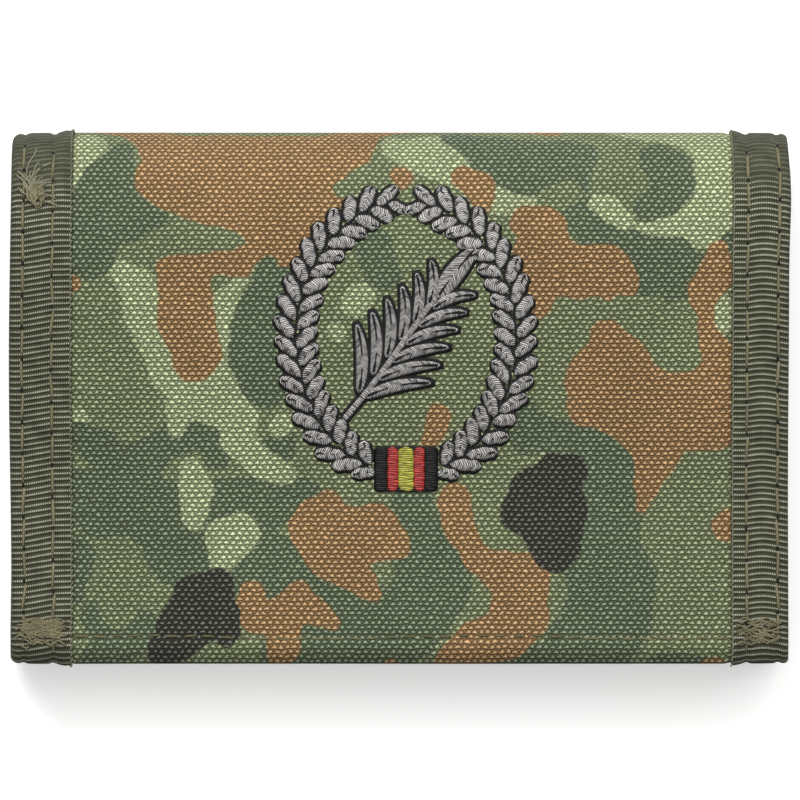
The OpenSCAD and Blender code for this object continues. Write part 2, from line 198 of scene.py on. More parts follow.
# A mesh from arrays of points and faces, with a cloth map in mm and any values worked out for its points
def makePiece(name, points, faces, clothMap=None, values=None, smooth=True):
    mesh = bpy.data.meshes.new(name)
    mesh.from_pydata(points.reshape(-1, 3).tolist(), [], faces)
    if clothMap is not None:
        layer = mesh.uv_layers.new(name="clothMap")
        loopPoint = np.zeros(len(mesh.loops), np.int32)
        mesh.loops.foreach_get("vertex_index", loopPoint)
        layer.data.foreach_set("uv", clothMap.reshape(-1, 2)[loopPoint].astype(np.float32).ravel())
    for key, value in (values or {}).items():
        mesh.attributes.new(key, "FLOAT", "POINT").data.foreach_set("value", np.asarray(value, np.float32).ravel())
    mesh.polygons.foreach_set("use_smooth", np.full(len(mesh.polygons), smooth))
    mesh.update()
    piece = bpy.data.objects.new(name, mesh)
    scene.collection.objects.link(piece)
    return piece


# Faces of many grids at once: each grid has rows times columns points, and may close round in its columns
def gridFaces(rows, columns, closed=False, grids=1, flip=False):
    across = columns if closed else columns - 1
    r, c = np.meshgrid(np.arange(rows - 1), np.arange(across), indexing="ij")
    nextC = (c + 1) % columns
    quad = np.stack([r * columns + c, r * columns + nextC, (r + 1) * columns + nextC, (r + 1) * columns + c], -1).reshape(-1, 4)
    if flip:
        quad = quad[:, ::-1]
    return (np.arange(grids)[:, None, None] * rows * columns + quad[None]).reshape(-1, 4)


# A closed section carried along the strip. The section is a loop of (x, depth), going from left to right on the outer side.
# At a rounded end the loop closes in on its middle as the square root of one minus distance squared
def carry(name, loop, along, material, roundStart=0.0, roundEnd=0.0, values=None, change=None):
    loop, along = np.asarray(loop, float), np.asarray(along, float)
    x, path = np.broadcast_arrays(loop[None, :, 0], along[:, None])
    depth = np.broadcast_to(loop[None, :, 1], x.shape).copy()
    middle = (loop[:, 1].min() + loop[:, 1].max()) / 2
    for size, away in ((roundStart, path - along[0]), (roundEnd, along[-1] - path)):
        if size > 0:
            share = np.clip(away / size, 0, 1)
            depth = middle + (depth - middle) * np.sqrt(np.clip(1 - (1 - share) ** 2, 0.02, 1))
    if change is not None:
        depth = depth + change(x, path, depth)
    span = np.concatenate([[0], np.cumsum(np.hypot(*np.diff(loop, axis=0).T))]) + loop[0, 0]
    clothMap = np.stack(np.broadcast_arrays(span[None, :], path), -1)
    rows, columns = x.shape
    faces = gridFaces(rows, columns, closed=True).tolist()
    faces.append(list(range(columns)))
    faces.append([(rows - 1) * columns + k for k in range(columns - 1, -1, -1)])
    points = place(x, path, depth)
    piece = makePiece(name, points, faces, clothMap, None if values is None else values(x, path))
    # the loop may run either way round, so the faces are turned outwards by the sign of the volume
    turnOutwards(piece)
    piece.data.materials.append(material)
    return piece


# Twice the signed volume under the faces tells whether they point in; if so, they are turned over
def turnOutwards(piece):
    mesh = piece.data
    mesh.calc_loop_triangles()
    corner = np.zeros(len(mesh.loop_triangles) * 3, np.int32)
    mesh.loop_triangles.foreach_get("vertices", corner)
    co = np.zeros(len(mesh.vertices) * 3, np.float32)
    mesh.vertices.foreach_get("co", co)
    a, b, c = np.moveaxis(co.reshape(-1, 3).astype(float)[corner.reshape(-1, 3)], 1, 0)
    if np.einsum("ij,ij->i", a, np.cross(b, c)).sum() < 0:
        mesh.flip_normals()


# The section of a sheet between two depths: left to right outside, round the edge, and back inside
def sheetLoop(left, right, outer, inner, step=0.7, innerStep=2.5):
    edge = (inner - outer) / 2
    count = max(3, int((right - left) / step))
    back = max(3, int((right - left) / innerStep))
    bend = np.radians([-60, -20, 20, 60])
    rightEdge = np.stack([right - edge + edge * np.cos(bend), (outer + inner) / 2 + edge * np.sin(bend)], 1)
    leftEdge = np.stack([left + edge - edge * np.cos(bend), (outer + inner) / 2 - edge * np.sin(bend)], 1)
    out = np.stack([np.linspace(left + edge, right - edge, count), np.full(count, outer)], 1)
    into = np.stack([np.linspace(right - edge, left + edge, back), np.full(back, inner)], 1)
    return np.vstack([out, rightEdge, into, leftEdge])


# The section of a tape folded round an edge: out along one face, half round the edge, back along the other, and the same
# line again at the other side of its thickness. side is -1 for the left edge and 1 for the right
def tapeLoop(side, edge, width, outer, inner, thick, step=0.35):
    half, middle = thick / 2, (outer + inner) / 2
    reach = (inner - outer) / 2
    turnX = edge - half - reach
    count = int((width - reach) / step)
    flat = np.linspace(edge - width, turnX, count)
    bend = np.radians(np.linspace(-90, 90, 11))[1:-1]
    spine = np.vstack([np.stack([flat, np.full(count, outer)], 1),
                       np.stack([turnX + reach * np.cos(bend), middle + reach * np.sin(bend)], 1),
                       np.stack([flat[::-1], np.full(count, inner)], 1)])
    way = np.gradient(spine, axis=0)
    way /= np.hypot(*way.T)[:, None]
    out = np.stack([way[:, 1], -way[:, 0]], 1)
    loop = np.vstack([spine + half * out, [spine[-1] + half * 0.7 * way[-1]], (spine - half * out)[::-1], [spine[0] - half * 0.7 * way[0]]])
    loop[:, 0] *= side
    return loop


# Closed tubes, one for each thread: the sides are a grid that closes round, with a cap at each end
def tubes(name, points, clothMap, material):
    number, rows, sides = points.shape[:3]
    faces = gridFaces(rows, sides, closed=True, grids=number).tolist()
    caps = np.arange(number)[:, None] * rows * sides
    faces += (caps + np.arange(sides)[::-1]).tolist() + (caps + (rows - 1) * sides + np.arange(sides)).tolist()
    piece = makePiece(name, points, faces, clothMap)
    turnOutwards(piece)
    piece.data.materials.append(material)
    return piece


# Threads of a seam: each stitch is a short bar, round in section, that rises from the cloth and dives back at both ends
def stitches(name, centreX, centrePath, depth, material, length=2.3, radius=0.19, across=False, rise=0.12, tilt=0.0):
    centreX, centrePath = np.broadcast_arrays(np.asarray(centreX, float), np.asarray(centrePath, float))
    number = len(centreX)
    along = np.array([-1, -0.86, -0.5, 0, 0.5, 0.86, 1])
    ring = np.radians(np.arange(6) * 60)
    t = along[None, :, None]
    lean = tilt + chance.normal(0, 0.05, (number, 1, 1))
    shift = chance.normal(0, 0.04, (number, 1, 1))
    thick = radius * (1 - 0.55 * np.abs(t) ** 6) * (1 + chance.normal(0, 0.06, (number, 1, 1)))
    run, off = t * length / 2, lean * t * length / 2 + shift + thick * np.cos(ring)
    down = depth - rise * (1 - t ** 2) + 0.32 * np.abs(t) ** 5 + thick * np.sin(ring)
    x = centreX[:, None, None] + (run if across else off)
    path = centrePath[:, None, None] + (off if across else run)
    x, path, down = np.broadcast_arrays(x, path, down)
    clothMap = np.stack(np.broadcast_arrays(run, np.arange(6)[None, None, :] * 0.2), -1)
    clothMap = np.broadcast_to(clothMap, x.shape + (2,))
    return tubes(name, place(x, path, down), clothMap, material)


# A part of the strip bends across its fold line; here the piece's placement is only baked into its mesh, and nothing is
# bent
def bendWith(piece, partName):
    before, after, _, _, hinge, reach = parts[partName]
    start, end = place(0, hinge - reach, 0), place(0, hinge + reach, 0)
    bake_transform(piece)


# What a finished piece is: where it rides, and the solids it stands for, which are hidden
def settle(piece, body, slotName, *nodes):
    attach(piece, body)
    if nodes:
        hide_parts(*nodes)


# For a piece on a part of the strip: the solids it stands for are hidden, and its placement is baked into its mesh
def settleBent(piece, partName, slotName, *nodes):
    if nodes:
        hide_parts(*nodes)
    bendWith(piece, partName)


def pathSteps(start, end, step=0.7):
    return np.linspace(start, end, max(4, int((end - start) / step) + 1))


# A colour from its sRGB hex code: each channel goes to linear light by the sRGB curve
def linear(code):
    value = np.array([int(code[k:k + 2], 16) / 255 for k in (1, 3, 5)])
    value = np.where(value <= 0.04045, value / 12.92, ((value + 0.055) / 1.055) ** 2.4)
    return (*value, 1.0)


# What a link starts from: a socket, or a node's first output that is in use
def outOf(value):
    return next(socket for socket in value.outputs if socket.enabled) if isinstance(value, bpy.types.Node) else value


# Adds one node: its properties by name, and its inputs by number or name, each a value or what is linked to it
def add(tree, kind, inputs=(), **settings):
    item = tree.nodes.new("ShaderNode" + kind)
    for key, value in settings.items():
        setattr(item, key, value)
    for slot, value in (inputs.items() if isinstance(inputs, dict) else enumerate(inputs)):
        value = outOf(value)
        if isinstance(value, bpy.types.NodeSocket):
            tree.links.new(value, item.inputs[slot])
        elif value is not None:
            item.inputs[slot].default_value = value
    return item


# A material with its shader's constants set on the sockets; build gives the colour, the height for bump, and a roughness or None
def finish(name, build, bump=0.1, **constants):
    material = bpy.data.materials.new(name)
    material.use_nodes = True
    tree = material.node_tree
    shader = tree.nodes["Principled BSDF"]
    for key, value in {"Roughness": 0.8, **constants}.items():
        shader.inputs[key.replace("_", " ")].default_value = value
    colour, height, rough = build(tree)
    relief = add(tree, "Bump", {"Strength": 1.0, "Distance": bump * 0.001, "Height": height})
    for value, key in ((colour, "Base Color"), (rough, "Roughness"), (relief, "Normal")):
        if value is not None:
            tree.links.new(outOf(value), shader.inputs[key])
    return material


canvas = {"crownPitch": 1.135, "rowPitch": 0.785, "lean": 0.16, "base": "#7e8863", "pale": "#a7b186", "dark": "#637156",
          "brown": "#a27e53", "lobe": "#7a8560", "black": "#373832", "dip": "#353720", "edge": 0.2,
          "gap": 0.52, "warp": 0.42, "crown": 1.85, "wander": 0.75, "wanderReach": 1.3}


# 600 denier polyester in plain weave, pigment printed. Each crossing shows as a small leaning crown on a row of them, set half a
# pitch on from the row below. In rows 0.785 mm apart, v runs up the row and u sideways from the crown's middle: the crown is
# where u is less than 0.45 (1 - v to the 1.5) + 0.12. The crowns catch the light and the dips between them stay dark
def canvasNodes(tree):
    spot = add(tree, "UVMap", uv_map="clothMap")
    drift = add(tree, "TexNoise", {0: spot, 2: 1 / canvas["wanderReach"], 3: 2.0})
    off = add(tree, "VectorMath", [drift.outputs[1], (0.5, 0.5, 0.5)], operation="SUBTRACT")
    off = add(tree, "VectorMath", [off, (canvas["wander"], canvas["wander"] * 0.8, 0)], operation="MULTIPLY")
    axes = add(tree, "SeparateXYZ", [add(tree, "VectorMath", [spot, off], operation="ADD")])
    rows = add(tree, "Math", [axes.outputs[1], 1 / canvas["rowPitch"]], operation="MULTIPLY")
    row, v = add(tree, "Math", [rows], operation="FLOOR"), add(tree, "Math", [rows], operation="FRACT")
    across = add(tree, "Math", [axes.outputs[0], 1 / canvas["crownPitch"], add(tree, "Math", [row, 0.5], operation="MULTIPLY")], operation="MULTIPLY_ADD")
    across = add(tree, "Math", [v, -canvas["lean"], across], operation="MULTIPLY_ADD")
    u = add(tree, "Math", [add(tree, "Math", [add(tree, "Math", [across], operation="FRACT"), 0.5], operation="SUBTRACT")], operation="ABSOLUTE")
    half = add(tree, "Math", [add(tree, "Math", [v, 1.5], operation="POWER"), -0.45, 0.57], operation="MULTIPLY_ADD")
    within = add(tree, "MapRange", [add(tree, "Math", [half, u], operation="SUBTRACT"), 0.0, 0.32, 0.0, 1.0])
    foot, head = add(tree, "MapRange", [v, 0.0, 0.3, 0.0, 1.0]), add(tree, "MapRange", [v, 1.0, 0.66, 0.0, 1.0])
    crown = add(tree, "Math", [add(tree, "Math", [within, foot], operation="MULTIPLY"), head], operation="MULTIPLY")
    between = add(tree, "Math", [add(tree, "MapRange", [u, 0.28, 0.42, 0.0, 1.0]), add(tree, "MapRange", [v, 0.45, 0.65, 0.0, 1.0])], operation="MULTIPLY")
    between = add(tree, "Math", [between, add(tree, "MapRange", [v, 1.0, 0.88, 0.0, 1.0])], operation="MULTIPLY")
    colour = linear(canvas["base"])
    for layer in ("pale", "dark", "lobe", "light", "brown", "over", "black"):
        distance = add(tree, "Attribute", attribute_name=layer)
        inside = add(tree, "MapRange", [distance.outputs[2], canvas["edge"], -canvas["edge"], 0.0, 1.0])
        ink = linear(canvas[{"over": "base", "light": "pale"}.get(layer, layer)])
        colour = add(tree, "Mix", {0: inside, 6: colour, 7: ink}, data_type="RGBA")
    patch = add(tree, "TexNoise", {0: add(tree, "TexCoord").outputs[3], 2: 70.0, 3: 3.0})
    worn = add(tree, "MapRange", [patch, 0.3, 0.7, 0.9, 1.1])
    each = add(tree, "TexNoise", {0: spot, 2: 1.5, 3: 1.0})
    # painted highlight on each crown, over a floor tone that is painted shade in the gaps
    bright = add(tree, "MapRange", [each, 0.25, 0.75, canvas["crown"] * 0.5, canvas["crown"] * 1.5])
    lit = add(tree, "Math", [add(tree, "Math", [crown, 1.5], operation="POWER"), bright, canvas["gap"]], operation="MULTIPLY_ADD")
    lit = add(tree, "Math", [between, canvas["warp"], lit], operation="MULTIPLY_ADD")
    tone = add(tree, "Math", [lit, worn], operation="MULTIPLY")
    colour = add(tree, "Mix", {0: 1.0, 6: colour, 7: add(tree, "CombineColor", [tone, tone, tone])}, data_type="RGBA", blend_type="MULTIPLY")
    # painted shade: the dips between the crowns are darkened toward olive, and painted highlight: the tops of the
    # crowns are mixed toward a greyer light
    dip = add(tree, "MapRange", [lit, canvas["gap"], canvas["gap"] + 0.5, 0.35, 0.0])
    colour = add(tree, "Mix", {0: dip, 6: colour, 7: linear(canvas["dip"])}, data_type="RGBA")
    shine = add(tree, "MapRange", [crown, 0.5, 1.0, 0.0, 0.26])
    colour = add(tree, "Mix", {0: shine, 6: colour, 7: linear("#cfd0c2")}, data_type="RGBA")
    height = add(tree, "Math", [between, 0.5, crown], operation="MULTIPLY_ADD")
    return colour, height, add(tree, "MapRange", [crown, 0.0, 1.0, 0.85, 0.55])


grosgrain = {"ribPitch": 0.95, "floatPitch": 0.37, "wander": 0.5, "crown": "#b5b8a6", "body": "#484832", "gap": "#25261a",
             "pressed": "#4f513d"}


# Polyester grosgrain ribbon: rows of small floats with a painted highlight, and wide furrows of filling between them in
# painted shade. Over the fold it is pressed, so the rows show less
def grosgrainNodes(tree):
    spot = add(tree, "UVMap", uv_map="clothMap")
    axes = add(tree, "SeparateXYZ", [spot])
    slow = add(tree, "TexNoise", {0: add(tree, "VectorMath", [spot, (0.06, 0.3, 1.0)], operation="MULTIPLY"), 2: 1.0, 3: 2.0})
    along = add(tree, "Math", [slow, grosgrain["wander"], axes.outputs[1]], operation="MULTIPLY_ADD")
    along = add(tree, "Math", [along, add(tree, "Attribute", attribute_name="rowShift").outputs[2]], operation="SUBTRACT")
    rib = add(tree, "Math", [add(tree, "Math", [along, math.pi / grosgrain["ribPitch"]], operation="MULTIPLY")], operation="SINE")
    rib = add(tree, "Math", [rib], operation="ABSOLUTE")
    yarn = add(tree, "Math", [add(tree, "Math", [axes.outputs[0], math.pi / grosgrain["floatPitch"]], operation="MULTIPLY")], operation="SINE")
    yarn = add(tree, "Math", [yarn], operation="ABSOLUTE")
    leaning = add(tree, "Math", [axes.outputs[1], 0.7, axes.outputs[0]], operation="MULTIPLY_ADD")
    leaning = add(tree, "Math", [add(tree, "Math", [leaning, math.pi / grosgrain["floatPitch"]], operation="MULTIPLY")], operation="SINE")
    litFilling = add(tree, "MapRange", [add(tree, "Math", [leaning], operation="ABSOLUTE"), 0.0, 0.9, 0.15, 1.0])
    floats = add(tree, "Math", [add(tree, "MapRange", [rib, 0.82, 0.96, 0.0, 1.0]), add(tree, "MapRange", [yarn, 0.3, 0.85, 0.1, 1.0])], operation="MULTIPLY")
    pressed = add(tree, "Attribute", attribute_name="pressed").outputs[2]
    floats = add(tree, "Math", [floats, add(tree, "MapRange", [pressed, 0.0, 1.0, 1.0, 0.3])], operation="MULTIPLY")
    body = add(tree, "Mix", {0: pressed, 6: linear(grosgrain["body"]), 7: linear(grosgrain["pressed"])}, data_type="RGBA")
    # painted shade: the slanting lines between the yarns take the dark gap colour; painted highlight: the floats on the
    # ribs take the pale crown colour
    colour = add(tree, "Mix", {0: litFilling, 6: linear(grosgrain["gap"]), 7: body}, data_type="RGBA")
    colour = add(tree, "Mix", {0: floats, 6: colour, 7: linear(grosgrain["crown"])}, data_type="RGBA")
    patch = add(tree, "TexNoise", {0: add(tree, "TexCoord").outputs[3], 2: 420.0, 3: 4.0})
    worn = add(tree, "MapRange", [patch, 0.3, 0.7, 0.74, 1.22])
    colour = add(tree, "Mix", {0: 1.0, 6: colour, 7: add(tree, "CombineColor", [worn, worn, worn])}, data_type="RGBA", blend_type="MULTIPLY")
    return colour, add(tree, "Math", [rib, add(tree, "MapRange", [yarn, 0.0, 1.0, 0.75, 1.0])], operation="MULTIPLY"), None


# Twisted thread: fine slanting lines where its plies wind round each other
def threadNodes(code, ply=0.35):
    def build(tree):
        axes = add(tree, "SeparateXYZ", [add(tree, "UVMap", uv_map="clothMap")])
        slant = add(tree, "Math", [axes.outputs[0], axes.outputs[1]], operation="ADD")
        twist = add(tree, "Math", [add(tree, "Math", [slant, math.pi / ply], operation="MULTIPLY")], operation="SINE")
        twist = add(tree, "Math", [twist], operation="ABSOLUTE")
        patch = add(tree, "TexNoise", {0: add(tree, "TexCoord").outputs[3], 2: 350.0, 3: 2.0})
        tone = add(tree, "Math", [add(tree, "MapRange", [twist, 0.0, 0.8, 0.5, 1.2]), add(tree, "MapRange", [patch, 0.3, 0.7, 0.75, 1.2])], operation="MULTIPLY")
        shade = add(tree, "CombineColor", [tone, tone, tone])
        return add(tree, "Mix", {0: 1.0, 6: linear(code), 7: shade}, data_type="RGBA", blend_type="MULTIPLY"), twist, None
    return build


# Satin stitch: parallel rayon threads laid side by side across the shape, each with a painted highlight along its
# middle and painted shade in the gap to the next. Real ones are about 0.2 mm apart, and are drawn at 0.36 mm so that
# they show
def satinNodes(code, gapCode, pitch=0.36):
    def build(tree):
        spot = add(tree, "UVMap", uv_map="clothMap")
        jitter = add(tree, "TexNoise", {0: add(tree, "VectorMath", [spot, (1.2, 0.25, 1.0)], operation="MULTIPLY"), 2: 1.0, 3: 2.0})
        across = add(tree, "Math", [jitter, 0.45, add(tree, "SeparateXYZ", [spot])], operation="MULTIPLY_ADD")
        strand = add(tree, "Math", [add(tree, "Math", [across, math.pi / pitch], operation="MULTIPLY")], operation="SINE")
        strand = add(tree, "Math", [strand], operation="ABSOLUTE")
        fleck = add(tree, "TexNoise", {0: add(tree, "VectorMath", [spot, (2.2, 0.7, 1.0)], operation="MULTIPLY"), 2: 1.0, 3: 3.0})
        show = add(tree, "Math", [add(tree, "MapRange", [strand, 0.1, 0.8, 0.0, 1.0]), add(tree, "MapRange", [fleck, 0.34, 0.56, 0.12, 1.0])], operation="MULTIPLY")
        # painted highlight on each thread, painted shade in the gaps between threads
        return add(tree, "Mix", {0: show, 6: linear(gapCode), 7: linear(code)}, data_type="RGBA"), strand, None
    return build


# A fine plain weave: crossings stand out where the two threads' sines agree in sign. Taffeta has threads 0.1 mm apart, and is
# drawn at 0.4 mm so that it shows
def fineWeaveNodes(code, pitch=0.4):
    def build(tree):
        axes = add(tree, "SeparateXYZ", [add(tree, "UVMap", uv_map="clothMap")])
        waves = [add(tree, "Math", [add(tree, "Math", [axis, math.pi / pitch], operation="MULTIPLY")], operation="SINE") for axis in axes.outputs[:2]]
        cross = add(tree, "MapRange", [add(tree, "Math", waves, operation="MULTIPLY"), -1.0, 1.0, 0.0, 1.0])
        patch = add(tree, "TexNoise", {0: add(tree, "TexCoord").outputs[3], 2: 60.0, 3: 4.0})
        tone = add(tree, "Math", [add(tree, "MapRange", [cross, 0.2, 1.0, 0.6, 1.25]), add(tree, "MapRange", [patch, 0.3, 0.7, 0.88, 1.12])], operation="MULTIPLY")
        shade = add(tree, "CombineColor", [tone, tone, tone])
        return add(tree, "Mix", {0: 1.0, 6: linear(code), 7: shade}, data_type="RGBA", blend_type="MULTIPLY"), cross, None
    return build


# A surface with no weave: a slow change of tone and a fine grain
def plainNodes(code, grain=900.0, spread=0.12):
    def build(tree):
        spot = add(tree, "TexCoord").outputs[3]
        fine = add(tree, "TexNoise", {0: spot, 2: grain, 3: 2.0})
        tone = add(tree, "MapRange", [add(tree, "TexNoise", {0: spot, 2: grain * 0.15, 3: 3.0}), 0.3, 0.7, 1 - spread, 1 + spread])
        shade = add(tree, "CombineColor", [tone, tone, tone])
        return add(tree, "Mix", {0: 1.0, 6: linear(code), 7: shade}, data_type="RGBA", blend_type="MULTIPLY"), fine, None
    return build


# coarse canvas: matt, with a small dull glint on each crown
printedCanvas = finish("printed polyester canvas", canvasNodes, 0.2, Sheen_Weight=0.03, Specular_IOR_Level=0.25)
# ribbed ribbon: matt olive with a dotted row of painted highlight on every rib, painted shade in the furrows, and a
# looped edge
ribbon = finish("grosgrain polyester ribbon", grosgrainNodes, 0.14, Roughness=0.75, Specular_IOR_Level=0.25)
selvedge = finish("grosgrain ribbon selvedge", threadNodes("#8b8c74"), 0.04, Roughness=0.75, Specular_IOR_Level=0.25)
# spun thread: soft, with its twist showing as slanting lines; the needle holes are in shade
oliveThread = finish("olive polyester sewing thread", threadNodes("#857f61"), 0.05, Roughness=0.7)
hemThread = finish("tan olive polyester sewing thread", threadNodes("#77724f"), 0.05, Roughness=0.7)
frayThread = finish("frayed pale olive thread", threadNodes("#9c997f"), 0.04)
holeShade = finish("shaded thread end in a needle hole", threadNodes("#191a10"), 0.04, Roughness=0.9)
# rayon embroidery: a soft gloss that breaks up thread by thread; the second colour is painted shade between the threads
greySatin = finish("grey rayon satin stitch", satinNodes("#dedad7", "#1b1817"), 0.12, Roughness=0.45, Specular_IOR_Level=0.6)
blackSatin = finish("black rayon satin stitch", satinNodes("#191717", "#0b0a0a"), 0.1, Roughness=0.55, Specular_IOR_Level=0.4)
redSatin = finish("red rayon satin stitch", satinNodes("#d8403a", "#6a1512"), 0.1, Roughness=0.45, Specular_IOR_Level=0.6)
yellowSatin = finish("yellow rayon satin stitch", satinNodes("#d3cf4a", "#6d6a1a"), 0.1, Roughness=0.45, Specular_IOR_Level=0.6)
# smooth woven nylon: a fine even grain with a slight gloss, and a coarser one on the zip's tape
lining = finish("olive nylon taffeta", fineWeaveNodes("#4a4d38"), 0.04, Roughness=0.6)
zipCloth = finish("black woven polyester zip tape", fineWeaveNodes("#26271f", 0.6), 0.08)
# extruded nylon: smooth and slightly glossy on the coils and hooks, and fuzzy where it is a mat of loops
coilNylon = finish("black extruded nylon", plainNodes("#1c1c1a"), 0.01, Roughness=0.4)
hookNylon = finish("black nylon hooks", plainNodes("#22241c"), 0.01, Roughness=0.45)
loopNylon = finish("black nylon loops", plainNodes("#25271f"), 0.01, Roughness=0.9)
# die cast zinc: bright grey and smooth where plated, and an even black gloss where painted
zincPlate = finish("gunmetal plated zinc casting", plainNodes("#6d6b66", 1500.0, 0.08), 0.006, Roughness=0.3, Metallic=1.0)
blackPaint = finish("black painted zinc casting", plainNodes("#17181a", 1800.0, 0.08), 0.008, Roughness=0.4, Coat_Weight=0.2)
# calendered vinyl film: clear, with a sharp bright shine
clearFilm = finish("clear PVC film", plainNodes("#dfe4e2", 300.0, 0.02), 0.02, Roughness=0.12, Alpha=0.28, Specular_IOR_Level=0.6)
print("materials made")


